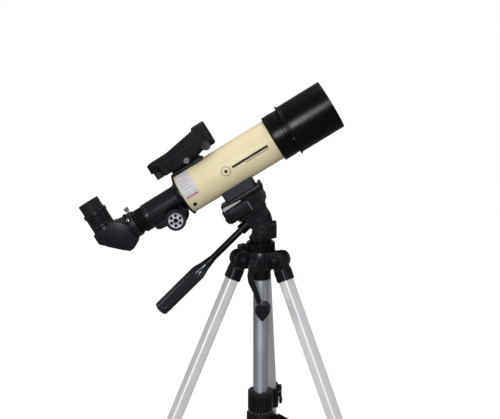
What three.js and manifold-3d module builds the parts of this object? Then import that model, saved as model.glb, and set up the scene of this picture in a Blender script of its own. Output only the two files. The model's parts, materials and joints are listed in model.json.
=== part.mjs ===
// Small refracting telescope on a photo tripod with a pan and tilt head.
// Millimetres, +Z up, the tube points along +X and up, the rear leg stands toward +Y.
import * as THREE from 'three';
import { mergeVertices } from 'three/addons/utils/BufferGeometryUtils.js';
import Module from 'manifold-3d';

const wasm = await Module();
wasm.setup();

// ---------------------------------------------------------------- driving dimensions
const GAP = 0.3;
const DEGREE = Math.PI / 180;

const TRIPOD = {
  legLength: 600, spread: 24.5 * DEGREE, turn: -7 * DEGREE,
  hingeRadius: 35, pinRadius: 3, lugHalf: 8, lugRadius: 10.5, cheek: 4.6, cheekRadius: 14,
};
const HINGE_HEIGHT = TRIPOD.legLength * Math.cos(TRIPOD.spread);
const LEG_ANGLES = {
  left: 210 * DEGREE + TRIPOD.turn,
  right: 330 * DEGREE + TRIPOD.turn,
  rear: 90 * DEGREE + TRIPOD.turn,
};
const SOCKET = { width: 26, depth: 21, top: -11, bottom: -35 };
const UPPER = { width: 21.6, depth: 16, wall: 1.3, corner: 2.4, top: -16, bottom: -312, groove: 0.5 };
const LOWER = { width: 18, depth: 12.4, wall: 1.2, corner: 2, top: -250, bottom: -586 };
const LOCK = { width: 28, depth: 22.4, top: -303, bottom: -351, seat: -313, corner: 4 };
const LEVER = { pivot: -315, pin: 1.6, length: 29, barrel: 3.6, thick: 4.2, width: 15, ear: 3 };
const FOOT = { width: 25, depth: 19.4, top: -572, corner: 6, floor: -590 };

const SHOULDER = {
  collarRadius: 23, collarTop: 25.3, bodyTop: 10, bodyBottom: -16, bossRadius: 16, bossBottom: -36,
};
const COLUMN = { radius: 12, bore: 10, flange: 17.5, top: 25.6, flangeHeight: 2.6, bottom: -400, spigot: 5 };
const CRANK = {
  height: -8, offset: 5, lean: 13.4 * DEGREE, axisRadius: 46.5, hubRadius: 9,
  armLength: 66, armThick: 4.5, shaft: 3, pin: 2.6, pinLength: 15, knobRadius: 10.5, knobHeight: 29,
};
const CRANK_SIDE = LEG_ANGLES.right - 60 * DEGREE;
const LOCK_KNOB = { height: 7, angle: 142 * DEGREE, lobes: 5, radius: 11 };
const HUB = {
  top: -223, pivot: -270, flange: 22.5, flangeHalf: 9, radius: 20, pin: 26, lugFace: 14.5, lugHalf: 6, ribs: 4,
};
const STRUT = {
  reach: 336, near: 14.8, far: 17.8, rib: 1, half: 6.2, hubPin: 2, legPin: 1.6, slot: 20.5, slotHalf: 3.8,
  head: 5, headLow: 18.1, headTop: 19.6,
};

const HEAD = { tiltX: 2, tiltZ: 47, cheekHalf: 16, innerHalf: 9.3, pin: 4, baseRadius: 18.6 };
const TILT = 31.5 * DEGREE;
const PLATFORM = { back: -40, front: 33, half: 21, bottom: 32, top: 55 };
const PLATFORM_KNOB = { x: 17, z: 20.8 };
const HANDLE = {
  x: -15.2, z: 17.5, dip: 13.5 * DEGREE, rod: 5.3, gripStart: 92, gripEnd: 200, gripRadius: 12,
};

const OPTICS_X = 1.3;
const OPTICS_Z = 110.2;
const TUBE = { radius: 33.4, wall: 2, rear: -77, front: 86.5 };
const CELL = { radius: 37.4, spigot: 36.6, plug: 78, front: 112.5, neck: 122.5 };
const SHIELD = { radius: 40.2, bore: 38.4, rim: 42.2, rear: 112.9, front: 191 };
const LENS = { radius: 34, rear: 100.5, edge: 6, bulge: 4 };
const FOCUSER = { flange: 35.6, radius: 20.6, tip: 20.2, rear: -147, bore: 19.1 };
const DRAW = { radius: 18.8, bore: 17, rear: -165, front: -66 };
const PINION = { x: -106, z: -25.6, radius: 4, shaft: 2.5, half: 33 };
const KNOB = { radius: 16.2, face: 13, inner: 23.5, width: 12.5, flutes: 20 };
const HOLDER = { radius: 21.2, rear: -175.2, front: -165.3, bore: 15.9, screwX: -169, sideTurn: 63 * DEGREE };
const DIAGONAL = {
  x: -214, backAngle: 46.2 * DEGREE, backOffset: -159, nose: 15.6, half: 18.6, cheek: 24, collar: 18.6, top: 24,
};
const EYEPIECE = {
  barrel: 15.6, body: 18.4, ring: 19.7, bottom: 9, neck: 24.3, shoulder: 44.4, ringTop: 50.9, cup: 17.5, top: 69,
};
const TUBE_FOOT = { half: 17, length: 54, bottom: -45.8 };
const FINDER = { rear: -102.5, front: 7, half: 16, bottom: 40 };

// ---------------------------------------------------------------- materials
const finish = (color, roughness, metalness) => (
  new THREE.MeshStandardMaterial({ color, roughness, metalness })
);
const blackPlastic = () => finish(0x1b1b1d, 0.45, 0.0);
const greyPlastic = () => finish(0x3a3b40, 0.5, 0.0);
const blackPaint = () => finish(0x101012, 0.35, 0.2);
const creamPaint = () => finish(0xd9cfa9, 0.35, 0.1);
const rubber = () => finish(0x161616, 0.85, 0.0);
const glass = () => finish(0xbcd8e0, 0.05, 0.0);
const chrome = () => finish(0xd5d8db, 0.12, 1.0);
const anodised = () => finish(0xc3c7cb, 0.32, 0.9);
const steel = () => finish(0x9a9da2, 0.3, 1.0);

// ---------------------------------------------------------------- geometry helpers
function solidFrom(geometry) {
  let plain = geometry.index ? geometry.toNonIndexed() : geometry.clone();
  for (const key of Object.keys(plain.attributes)) {
    if (key !== 'position') plain.deleteAttribute(key);
  }
  plain = mergeVertices(plain, 1e-4);
  const properties = new Float32Array(plain.attributes.position.array);
  const corners = new Uint32Array(plain.index.array);
  const make = () => new wasm.Manifold(new wasm.Mesh({
    numProp: 3, vertProperties: properties, triVerts: corners,
  }));
  const solid = make();
  if (solid.volume() > 0) return solid;
  for (let i = 0; i < corners.length; i += 3) {
    [corners[i], corners[i + 1]] = [corners[i + 1], corners[i]];
  }
  return make();
}

function geometryFrom(solid) {
  const mesh = solid.getMesh();
  const geometry = new THREE.BufferGeometry();
  const points = new Float32Array((mesh.vertProperties.length / mesh.numProp) * 3);
  for (let i = 0; i < points.length / 3; i += 1) {
    for (let k = 0; k < 3; k += 1) points[i * 3 + k] = mesh.vertProperties[i * mesh.numProp + k];
  }
  geometry.setAttribute('position', new THREE.BufferAttribute(points, 3));
  geometry.setIndex(new THREE.BufferAttribute(new Uint32Array(mesh.triVerts), 1));
  geometry.computeVertexNormals();
  return geometry;
}

const fuse = (...pieces) => pieces.map(solidFrom).reduce((all, one) => all.add(one));
const carve = (body, ...tools) => tools.map(solidFrom).reduce((left, tool) => left.subtract(tool), body);

function turned(profile, segments = 24) {
  const points = profile.map(([radius, height]) => new THREE.Vector2(radius, height));
  return new THREE.LatheGeometry(points, segments).rotateX(Math.PI / 2);
}

// A ring or tube turned about Z, closed on itself.
function ring(inner, outer, low, high, segments = 24) {
  return turned([[inner, low], [outer, low], [outer, high], [inner, high], [inner, low]], segments);
}

function disc(radius, low, high, segments = 24) {
  return turned([[0, low], [radius, low], [radius, high], [0, high]], segments);
}

function rounded(width, height, radius, steps = 4) {
  const shape = new THREE.Shape();
  const [x, y] = [width / 2 - radius, height / 2 - radius];
  const points = [];
  [[x, y, 0], [-x, y, 1], [-x, -y, 2], [x, -y, 3]].forEach(([cx, cy, quarter]) => {
    for (let i = 0; i <= steps; i += 1) {
      const angle = (quarter + i / steps) * Math.PI / 2;
      points.push(new THREE.Vector2(cx + radius * Math.cos(angle), cy + radius * Math.sin(angle)));
    }
  });
  shape.setFromPoints(points);
  return shape;
}

const polygon = (points) => new THREE.Shape(points.map(([x, y]) => new THREE.Vector2(x, y)));

function wheel(radius, depth, count, perFlute = 2) {
  const points = [];
  for (let i = 0; i < count * perFlute; i += 1) {
    const angle = i / (count * perFlute) * 2 * Math.PI;
    const reach = radius - depth * (0.5 - 0.5 * Math.cos(angle * count));
    points.push([reach * Math.cos(angle), reach * Math.sin(angle)]);
  }
  return polygon(points);
}

// Extrudes a shape along +Z between two heights, with an optional edge bevel.
function slab(shape, low, high, bevel = 0) {
  const geometry = new THREE.ExtrudeGeometry(shape, {
    depth: high - low - 2 * bevel,
    bevelEnabled: bevel > 0,
    bevelThickness: bevel,
    bevelSize: bevel,
    bevelOffset: -bevel,
    bevelSegments: 1,
    curveSegments: 8,
  });
  return geometry.translate(0, 0, low + bevel);
}

// Extrudes a shape drawn in X and Z along Y, from yLow to yHigh.
const sideSlab = (shape, yLow, yHigh, bevel = 0) => slab(shape, -yHigh, -yLow, bevel).rotateX(Math.PI / 2);
const block = (x0, x1, y0, y1, z0, z1) => new THREE.BoxGeometry(x1 - x0, y1 - y0, z1 - z0)
  .translate((x0 + x1) / 2, (y0 + y1) / 2, (z0 + z1) / 2);
const alongX = (geometry) => geometry.rotateY(Math.PI / 2);
const alongY = (geometry) => geometry.rotateX(-Math.PI / 2);

function part(name, solid, material) {
  const geometry = solid instanceof THREE.BufferGeometry ? solid : geometryFrom(solid);
  const mesh = new THREE.Mesh(geometry, material);
  mesh.name = name;
  return mesh;
}

function group(name, children, position = [0, 0, 0]) {
  const holder = new THREE.Group();
  holder.name = name;
  holder.position.set(...position);
  holder.add(...children);
  return holder;
}

// ---------------------------------------------------------------- optical tube (axis = local X)
function mainTube() {
  const bore = TUBE.radius - TUBE.wall;
  return part('main_tube', alongX(ring(bore, TUBE.radius, TUBE.rear, TUBE.front, 32)), creamPaint());
}

function objectiveCell() {
  const inner = TUBE.radius - TUBE.wall - GAP;
  const seat = LENS.radius + GAP;
  const profile = [
    [31, CELL.plug], [inner, CELL.plug], [inner, TUBE.front + GAP], [CELL.radius, TUBE.front + GAP],
    [CELL.radius + 0.4, TUBE.front + 3], [CELL.radius, CELL.front], [CELL.spigot, CELL.front],
    [CELL.spigot, CELL.neck], [seat, CELL.neck], [seat, LENS.rear - GAP],
    [31, LENS.rear - GAP], [31, CELL.plug],
  ];
  return part('objective_cell', alongX(turned(profile, 32)), blackPaint());
}

function objectiveLens() {
  const { radius, rear, edge, bulge } = LENS;
  const profile = [[0, rear + 1]];
  for (let i = 1; i <= 4; i += 1) profile.push([radius * i / 4, rear + 1 - (i / 4) ** 2]);
  for (let i = 4; i >= 0; i -= 1) profile.push([radius * i / 4, rear + edge + bulge * (1 - (i / 4) ** 2)]);
  return part('objective_lens', alongX(turned(profile, 26)), glass());
}

function dewShield() {
  const grip = CELL.spigot + GAP;
  const profile = [
    [grip, SHIELD.rear], [SHIELD.rim, SHIELD.rear], [SHIELD.rim, SHIELD.rear + 2.4],
    [SHIELD.radius, SHIELD.rear + 3.2], [SHIELD.radius, SHIELD.front - 1],
    [SHIELD.radius - 0.6, SHIELD.front],
    [SHIELD.bore, SHIELD.front], [SHIELD.bore, CELL.neck + 3], [grip, CELL.neck + 1], [grip, SHIELD.rear],
  ];
  return part('dew_shield', alongX(turned(profile, 32)), blackPaint());
}

function focuserHousing() {
  const inner = TUBE.radius - TUBE.wall - GAP;
  const { flange, radius, tip, rear, bore } = FOCUSER;
  const barrel = alongX(turned([
    [bore, rear], [tip, rear], [radius, -88], [24, -84], [flange, TUBE.rear - 2.2], [flange, TUBE.rear - GAP],
    [inner, TUBE.rear - GAP], [inner, -68], [inner - 3, -68], [bore + 1, -84], [bore, -90], [bore, rear],
  ], 26));
  const bottom = PINION.z - 4.4;
  const keel = sideSlab(polygon([
    [-143, -14], [-143, -24], [-138, -27.5], [PINION.x - 8, bottom], [PINION.x + 8, bottom],
    [-90, -26], [-84, -14],
  ]), -11, 11, 1.2);
  const boss = alongY(disc(8.6, -17, 17, 16)).translate(PINION.x, 0, PINION.z);
  const bore1 = alongX(disc(bore, rear - 1, -66, 26));
  const rackWay = block(rear - 1, -66, -3.6, 3.6, -21.4, 0);
  const pinionRoom = alongY(disc(PINION.radius + 0.6, -6, 6, 12)).translate(PINION.x, 0, PINION.z);
  const shaftHole = alongY(disc(PINION.shaft + GAP, -20, 20, 12)).translate(PINION.x, 0, PINION.z);
  const body = carve(fuse(barrel, keel, boss), bore1, rackWay, pinionRoom, shaftHole);
  return part('focuser_housing', body, blackPlastic());
}

function drawtube() {
  const { radius, bore, rear, front } = DRAW;
  const tube = alongX(ring(bore, radius, rear, front, 26));
  const pitch = 6;
  const teeth = [[rear + 6, -17.6], [rear + 6, -20.2]];
  for (let x = rear + 8; x < front - 9; x += pitch) {
    teeth.push([x, -21.1], [x + 3, -21.1], [x + 3.4, -20.2], [x + 5.6, -20.2]);
  }
  teeth.push([front - 3, -20.2], [front - 3, -17.6]);
  const rack = sideSlab(polygon(teeth), -3, 3);
  return part('drawtube', fuse(tube, rack), blackPaint());
}

function focusShaft() {
  const { x, z, radius, shaft, half } = PINION;
  const rod = disc(shaft, -half, half, 12);
  const gear = slab(wheel(radius, 1.2, 10), -4.5, 4.5);
  return part('focus_shaft', alongY(geometryFrom(fuse(rod, gear))).translate(x, 0, z), steel());
}

function focusKnob(name, sign) {
  const { radius, face, inner, width, flutes } = KNOB;
  const rim = slab(wheel(radius, 1, flutes), inner, inner + width);
  const hub = disc(9, inner - 5.6, inner + 1, 16);
  const dish = ring(face - 3.4, face, inner + width - 1.4, inner + width + 1, 20);
  const bore = disc(PINION.shaft + GAP, inner - 7, inner + width - 2.6, 12);
  const knob = geometryFrom(carve(fuse(rim, hub), dish, bore));
  const facing = sign > 0 ? alongY(knob) : knob.rotateX(Math.PI / 2);
  return part(name, facing.translate(PINION.x, 0, PINION.z), blackPlastic());
}

function eyepieceHolder() {
  const { radius, rear, front, bore, screwX, sideTurn } = HOLDER;
  const body = alongX(turned([
    [bore, rear], [radius - 1, rear], [radius, rear + 1], [radius, front], [DRAW.bore - GAP, front],
    [DRAW.bore - GAP, front + 11], [bore, front + 11], [bore, rear],
  ], 26));
  const topHole = disc(2.3, 10, 30, 10).translate(screwX, 0, 0);
  const sideHole = disc(2.3, 10, 30, 10).rotateX(sideTurn).translate(screwX - 1.5, 0, 0);
  return part('eyepiece_holder', carve(solidFrom(body), topHole, sideHole), greyPlastic());
}

// A small knurled screw along +Z, its tip at the given height.
function thumbScrew(shank, tip, under, top, head) {
  return fuse(disc(shank, tip, under + 1, 10), slab(wheel(head, 0.5, 8), under, top, 0.4));
}

function holderScrew(name, turn, x, headRadius) {
  const { bore, radius } = HOLDER;
  const screw = geometryFrom(thumbScrew(2, bore + GAP, radius + 2.4, radius + 9, headRadius));
  return part(name, screw.rotateX(turn).translate(x, 0, 0), chrome());
}

function diagonalBody() {
  const { x, nose, half, cheek, collar, top } = DIAGONAL;
  const profile = polygon([
    [-175.5, 19], [-175.5, -19], [-181, -26], [-188, -30.5], [-196.5, -31.5],
    [-232.4, 3], [-232.4, 20], [-192, 20],
  ]);
  const body = fuse(
    sideSlab(profile, -half, half, 2),
    alongY(disc(cheek, -half - 1.4, half + 1.4, 22)).translate(-200, 0, -2),
    disc(collar, 0, top, 22).translate(x, 0, 0),
    alongX(disc(22.4, -179.5, -175.5, 22)),
    alongX(disc(nose, -178, -152, 22)),
  );
  const level = alongX(disc(nose - 1.6, x, -150, 20));
  const upright = disc(HOLDER.bore, 2, top + 2, 20).translate(x, 0, 0);
  const room = polygon([[-228.5, 8], [-228.5, 3.2], [-196, -25.5], [-190, -14], [-190, 8]]);
  const chamber = sideSlab(room, -14.5, 14.5);
  const screwHole = disc(2.1, 10, 30, 10).rotateX(-90 * DEGREE).translate(x, 0, 15);
  const back = [Math.cos(DIAGONAL.backAngle), 0, Math.sin(DIAGONAL.backAngle)];
  const hollow = carve(body, level, upright, chamber, screwHole);
  return part('diagonal_body', hollow.trimByPlane(back, DIAGONAL.backOffset), blackPlastic());
}

function diagonalMirror() {
  const plate = slab(rounded(42, 28, 3), -1.4, 1.4);
  plate.rotateY(41.5 * DEGREE);
  return part('diagonal_mirror', plate.translate(-211.1, 0, -8.6), glass());
}

function eyepieceBody() {
  const { barrel, body, ring: lip, bottom, neck, shoulder, ringTop } = EYEPIECE;
  const profile = [
    [13.6, bottom], [barrel, bottom], [barrel, neck], [body, neck], [body, shoulder], [lip, shoulder + 0.6],
    [lip, ringTop], [13.6, ringTop], [13.6, bottom],
  ];
  return part('eyepiece_body', turned(profile, 22).translate(DIAGONAL.x, 0, 0), blackPaint());
}

function eyecup() {
  const { ringTop, cup, top } = EYEPIECE;
  const low = ringTop + GAP;
  const profile = [
    [8.6, low], [cup - 0.6, low], [cup, low + 1.5], [cup - 0.5, low + 9], [cup, top - 1], [cup - 1, top],
    [cup - 2.4, top - 0.6], [9.4, low + 7], [8.6, low + 6], [8.6, low],
  ];
  return part('eyecup', turned(profile, 22).translate(DIAGONAL.x, 0, 0), rubber());
}

function eyepieceLens() {
  const low = EYEPIECE.ringTop + 1;
  const profile = [[0, low], [8.2, low], [8.2, low + 2.6], [4, low + 3.6], [0, low + 4]];
  return part('eyepiece_lens', turned(profile, 16).translate(DIAGONAL.x, 0, 0), glass());
}

function eyepieceScrew() {
  const screw = geometryFrom(thumbScrew(1.8, 16.2, DIAGONAL.half + 2, DIAGONAL.half + 8, 3.6));
  return part('eyepiece_screw', screw.rotateX(-90 * DEGREE).translate(DIAGONAL.x, 0, 15), chrome());
}

function tubeFoot() {
  const { half, length, bottom } = TUBE_FOOT;
  const base = slab(rounded(length, half * 2, 3), bottom, -24, 0.8);
  const saddle = alongX(disc(TUBE.radius + GAP, -60, 60, 32));
  const socket = disc(3.5, bottom - 1, bottom + 8, 12);
  return part('tube_foot', carve(solidFrom(base), saddle, socket), greyPlastic());
}

// ---------------------------------------------------------------- red dot finder
function finderShoe() {
  const base = slab(rounded(54, 24, 2), 28, 37).translate(-49, 0, 0);
  const rail = sideSlab(polygon([[-75, 36], [-25, 36], [-25, 39.7], [-75, 39.7]]), -8, 8);
  const saddle = alongX(disc(TUBE.radius + GAP, -90, 0, 32));
  return part('finder_shoe', carve(fuse(base, rail), saddle), blackPlastic());
}

function finderBody() {
  const { rear, front, half, bottom } = FINDER;
  const profile = polygon([
    [rear, 53], [-88.6, 53], [-88.6, bottom], [-4, bottom], [front, 46], [front, 80.6], [5, 82], [-13, 82],
    [-15, 78], [-69, 69], [rear + 2, 68.5], [rear, 66.5],
  ]);
  const shell = sideSlab(profile, -half, half, 2);
  const frontWindow = block(-16, front + 2, -12.5, 12.5, 52, 78.2);
  const sight = block(rear - 2, 0, -9, 9, 56.6, 65.6);
  const waist = [-1, 1].map((side) => sideSlab(polygon([
    [-72, 58.6], [-20, 62.6], [-20, 74.6], [-72, 66.6],
  ]), side > 0 ? half - 1.5 : -half - 1, side > 0 ? half + 1 : -half + 1.5));
  const groove = block(-82, -23, -8.4, 8.4, 38, 40.4);
  const clampHole = alongY(disc(3.4, -20, -8, 12)).translate(-44, 0, 45.7);
  const hollow = carve(solidFrom(shell), frontWindow, sight, groove, clampHole, ...waist);
  return part('finder_body', hollow, blackPlastic());
}

function finderWindow() {
  const pane = slab(rounded(24.4, 26, 1.5, 2), -1, 1);
  return part('finder_window', pane.rotateZ(Math.PI / 2).rotateY(90 * DEGREE).translate(0, 0, 65), glass());
}

function finderDial() {
  const dial = geometryFrom(fuse(slab(wheel(7, 0.6, 14), FINDER.half + GAP, FINDER.half + 5.5)));
  return part('finder_dial', dial.rotateX(Math.PI / 2).translate(-6.6, 0, 47.3), blackPlastic());
}

function finderClampScrew() {
  const screw = geometryFrom(thumbScrew(3, 9, FINDER.half + 1.5, FINDER.half + 8, 6));
  return part('finder_clamp_screw', screw.rotateX(Math.PI / 2).translate(-44, 0, 45.7), chrome());
}

function finderAdjuster() {
  const knob = slab(wheel(6, 0.6, 14), 40, 52.7).translate(-95.6, 0, 0);
  return part('finder_adjuster', solidFrom(knob), blackPlastic());
}

// ---------------------------------------------------------------- pan and tilt head
function plate() {
  const { back, front, half, top } = PLATFORM;
  const low = top + GAP;
  const high = OPTICS_Z + TUBE_FOOT.bottom - GAP;
  const body = slab(rounded(front - back, half * 2 - 2, 3), low, high, 1);
  body.translate((front + back + 6) / 2, 0, 0);
  const lip = block(front - 1, front + 3, -14, 14, high - 1, high + 3);
  const stud = disc(3.1, high - 1, high + 7, 12).translate(OPTICS_X, 0, 0);
  return part('quick_plate', fuse(body, lip, stud), greyPlastic());
}

function platform() {
  const { back, front, half, bottom, top } = PLATFORM;
  const body = sideSlab(polygon([
    [back, top], [back, 42], [-36, bottom], [24, bottom], [front, 42], [front, top],
  ]), -half, half, 1.6);
  const leverSlot = block(back - 1, back + 12, -9, 9, 30, 46);
  return part('platform', carve(solidFrom(body), leverSlot), greyPlastic());
}

function releaseLever() {
  const { back } = PLATFORM;
  const flap = sideSlab(polygon([
    [back + 10, 43.8], [back + 4, 43.8], [back - 3, 41], [back - 1, 33], [back + 3, 31.5], [back + 9, 37],
  ]), -8.4, 8.4, 1);
  return part('release_lever', solidFrom(flap), blackPlastic());
}

function platformKnob() {
  const { x, z } = PLATFORM_KNOB;
  const screw = geometryFrom(thumbScrew(3, 3, HEAD.innerHalf + 1, HEAD.innerHalf + 7, 5.6));
  return part('platform_knob', screw.rotateX(Math.PI / 2).translate(x, 0, z), blackPlastic());
}

function tiltBody() {
  const neck = sideSlab(polygon([
    [-12, 0], [-17, 14], [-15, 31.7], [22.5, 31.7], [23.5, 22], [23.5, 12], [21, 3], [8, -6], [-8, -6],
  ]), -8.9, 8.9, 1);
  const barrel = alongY(disc(13, -8.9, 8.9, 20));
  const socket = alongX(disc(8.6, -2, 16, 16)).rotateY(Math.PI - HANDLE.dip).translate(HANDLE.x, 0, HANDLE.z);
  const cap = slab(rounded(50, 30, 4), 27, 31.7, 1).translate(0, 0, 0);
  const pinHole = alongY(disc(HEAD.pin + GAP, -20, 20, 16));
  const rodHole = handleLine(disc(HANDLE.rod + GAP, -3, 60, 16));
  const knobHole = alongY(disc(3 + GAP, -12, -2, 12)).translate(PLATFORM_KNOB.x, 0, PLATFORM_KNOB.z);
  return part('tilt_body', carve(fuse(neck, barrel, socket, cap), pinHole, rodHole, knobHole), greyPlastic());
}

// Turns a piece built on +Z onto the line of the handle.
function handleLine(geometry) {
  return geometry.rotateY(-Math.PI / 2 - HANDLE.dip).translate(HANDLE.x, 0, HANDLE.z);
}

function handleRod() {
  const { rod, gripStart } = HANDLE;
  const profile = [
    [0, -2.6], [rod, -2.6], [rod, gripStart - 12], [rod + 1.6, gripStart - 10], [rod + 2.6, gripStart - GAP],
    [rod - 0.6, gripStart - GAP], [rod - 0.6, gripStart + 58], [0, gripStart + 58],
  ];
  return part('handle_rod', handleLine(turned(profile, 16)), blackPaint());
}

function handleGrip() {
  const { rod, gripStart, gripEnd, gripRadius } = HANDLE;
  const shoulderEnd = gripStart + 9;
  const neck = turned([[0, gripStart], [8.4, gripStart], [gripRadius, shoulderEnd], [0, shoulderEnd]], 20);
  const body = slab(wheel(gripRadius, 0.9, 14), gripStart + 8, gripEnd - 8);
  const cap = turned([
    [0, gripEnd - 9], [gripRadius - 1.4, gripEnd - 9], [gripRadius, gripEnd - 6],
    [gripRadius - 0.6, gripEnd - 1.5],
    [gripRadius - 3, gripEnd], [0, gripEnd],
  ], 24);
  const bore = disc(rod - 0.6 + GAP, gripStart - 1, gripStart + 60, 16);
  return part('handle_grip', handleLine(geometryFrom(carve(fuse(neck, body, cap), bore))), rubber());
}

function panBody() {
  const { tiltX, tiltZ, cheekHalf, innerHalf, pin, baseRadius } = HEAD;
  const floor = COLUMN.top + COLUMN.flangeHeight + GAP;
  const base = turned([
    [0, floor], [baseRadius - 1, floor], [baseRadius, floor + 1], [baseRadius, floor + 6],
    [16, floor + 9], [0, floor + 9],
  ], 26);
  const cheeks = [-1, 1].map((side) => {
    const profile = polygon([
      [-15, floor + 4], [-12, 52], [-8, 60], [0, 63.6], [8, 63], [11, 60], [12, 56],
      [25, 56], [25, 33.5], [17, floor + 3],
    ]);
    return sideSlab(profile, side > 0 ? innerHalf : -cheekHalf, side > 0 ? cheekHalf : -innerHalf, 1);
  });
  const pinRod = alongY(disc(pin, -cheekHalf - 2.4, cheekHalf + 2.4, 16)).translate(tiltX, 0, tiltZ);
  const washer = alongY(disc(7, -cheekHalf - 1.4, -cheekHalf + 1, 16)).translate(tiltX, 0, tiltZ);
  const screwBoss = alongY(disc(4.2, -cheekHalf - 3, -cheekHalf + 1, 12)).translate(0.8, 0, 39.3);
  const room = block(-30, 40, -innerHalf, innerHalf, tiltZ - 14, tiltZ + 20);
  const spigotHole = disc(COLUMN.spigot + GAP, floor - 1, floor + 3, 16);
  const shell = carve(fuse(base, ...cheeks), room, spigotHole);
  return part('pan_body', shell.add(fuse(pinRod, washer, screwBoss)), greyPlastic());
}

// ---------------------------------------------------------------- shoulder, column and brace
function shoulder() {
  const { collarRadius, collarTop, bodyTop, bodyBottom, bossRadius, bossBottom } = SHOULDER;
  const { hingeRadius, lugHalf, cheek, cheekRadius, pinRadius } = TRIPOD;
  const core = turned([
    [0, bossBottom], [bossRadius - 1, bossBottom], [bossRadius, bossBottom + 1], [bossRadius, bodyBottom - 3],
    [25, bodyBottom], [26, 4], [24.5, bodyTop], [collarRadius, bodyTop + 1], [collarRadius, collarTop - 2],
    [collarRadius - 2, collarTop], [0, collarTop],
  ], 26);
  const arms = Object.values(LEG_ANGLES).flatMap((angle) => {
    const outline = polygon([
      [14, bodyTop - 1], [hingeRadius - 4, cheekRadius - 1],
      ...roundEnd(hingeRadius, cheekRadius, 75, -90, 7), [14, bodyBottom],
    ]);
    const cheeks = [-1, 1].map((side) => {
      const inner = lugHalf + GAP;
      return sideSlab(outline, side > 0 ? inner : -inner - cheek, side > 0 ? inner + cheek : -inner);
    });
    const pin = alongY(disc(pinRadius, -lugHalf - cheek, lugHalf + cheek, 12)).translate(hingeRadius, 0, 0);
    return [...cheeks, pin].map((piece) => piece.rotateZ(angle));
  });
  const rooms = Object.values(LEG_ANGLES).map((angle) => (
    block(hingeRadius - 12, hingeRadius + 30, -lugHalf - GAP, lugHalf + GAP, -40, 30).rotateZ(angle)
  ));
  const pins = Object.values(LEG_ANGLES).map((angle) => (
    alongY(disc(pinRadius, -lugHalf - 1, lugHalf + 1, 12)).translate(hingeRadius, 0, 0).rotateZ(angle)
  ));
  const crankBoss = alongX(disc(CRANK.hubRadius + 1, 14, CRANK.axisRadius - 2, 16))
    .translate(0, -CRANK.offset, CRANK.height).rotateZ(CRANK_SIDE);
  const crankHole = alongX(disc(CRANK.shaft + GAP, 13, CRANK.axisRadius, 12))
    .translate(0, -CRANK.offset, CRANK.height).rotateZ(CRANK_SIDE);
  const knobBoss = alongX(disc(7, 14, 31, 16)).translate(0, 0, LOCK_KNOB.height).rotateZ(LOCK_KNOB.angle);
  const knobHole = alongX(disc(3.3, 11, 40, 12)).translate(0, 0, LOCK_KNOB.height).rotateZ(LOCK_KNOB.angle);
  const columnBore = disc(COLUMN.radius + GAP, bossBottom - 1, collarTop + 1, 22);
  const body = carve(fuse(core, ...arms, crankBoss, knobBoss), ...rooms);
  return part('shoulder', carve(body.add(fuse(...pins)), crankHole, knobHole, columnBore), greyPlastic());
}

// Points round the end of an arm, from one angle to another about (x, 0).
function roundEnd(x, radius, from, to, steps) {
  return Array.from({ length: steps + 1 }, (unused, i) => {
    const angle = (from + (to - from) * i / steps) * DEGREE;
    return [x + radius * Math.cos(angle), radius * Math.sin(angle)];
  });
}

function column() {
  const { radius, bore, flange, top, flangeHeight, bottom, spigot } = COLUMN;
  const profile = [
    [bore, bottom], [radius, bottom], [radius, top], [flange, top], [flange, top + flangeHeight],
    [spigot, top + flangeHeight], [spigot, top + flangeHeight + 3], [0, top + flangeHeight + 3],
    [0, top - 4], [bore, top - 4], [bore, bottom],
  ];
  return part('column', turned(profile, 22), anodised());
}

function crankArm() {
  const { armLength, armThick, hubRadius, axisRadius, shaft, pin, pinLength } = CRANK;
  const shape = new THREE.Shape();
  shape.moveTo(-6.5, 3);
  shape.bezierCurveTo(-21, -18, -10, -40, -5, -armLength + 3);
  shape.lineTo(-3.4, -armLength - 4);
  shape.lineTo(3.4, -armLength - 4);
  shape.lineTo(5, -armLength + 3);
  shape.bezierCurveTo(1, -40, -8, -18, 6.5, 3);
  shape.closePath();
  const arm = slab(shape, 0, armThick, 0.8);
  const hub = disc(hubRadius, -1, armThick + 2, 16);
  const axle = disc(shaft, -axisRadius + 14, 1, 12);
  const crankPin = disc(pin, armThick - 1, armThick + pinLength, 10).translate(0, -armLength, 0);
  return part('crank_arm', fuse(arm, hub, axle, crankPin), blackPlastic());
}

function crankKnob() {
  const { armLength, armThick, pin, pinLength, knobRadius, knobHeight } = CRANK;
  const low = armThick + GAP;
  const profile = [
    [0, low], [6, low], [knobRadius - 1, low + 5], [knobRadius, low + 8], [knobRadius - 1, low + 15],
    [5, low + 19], [0, low + 20],
  ];
  const bore = disc(pin + GAP, low - 1, armThick + pinLength + GAP, 10);
  const knob = geometryFrom(carve(solidFrom(turned(profile, 8)), bore));
  knob.scale(1, knobHeight / (2 * knobRadius), 1);
  return part('crank_knob', knob.translate(0, -armLength, 0), blackPlastic());
}

function columnLockKnob() {
  const { radius, lobes } = LOCK_KNOB;
  const grip = slab(wheel(radius, 3.2, lobes, 6), 33, 43, 1.4);
  const shank = disc(3, COLUMN.radius + GAP + 0.1, 34, 12);
  return part('column_lock_knob', alongX(geometryFrom(fuse(grip, shank))), blackPlastic());
}

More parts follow.
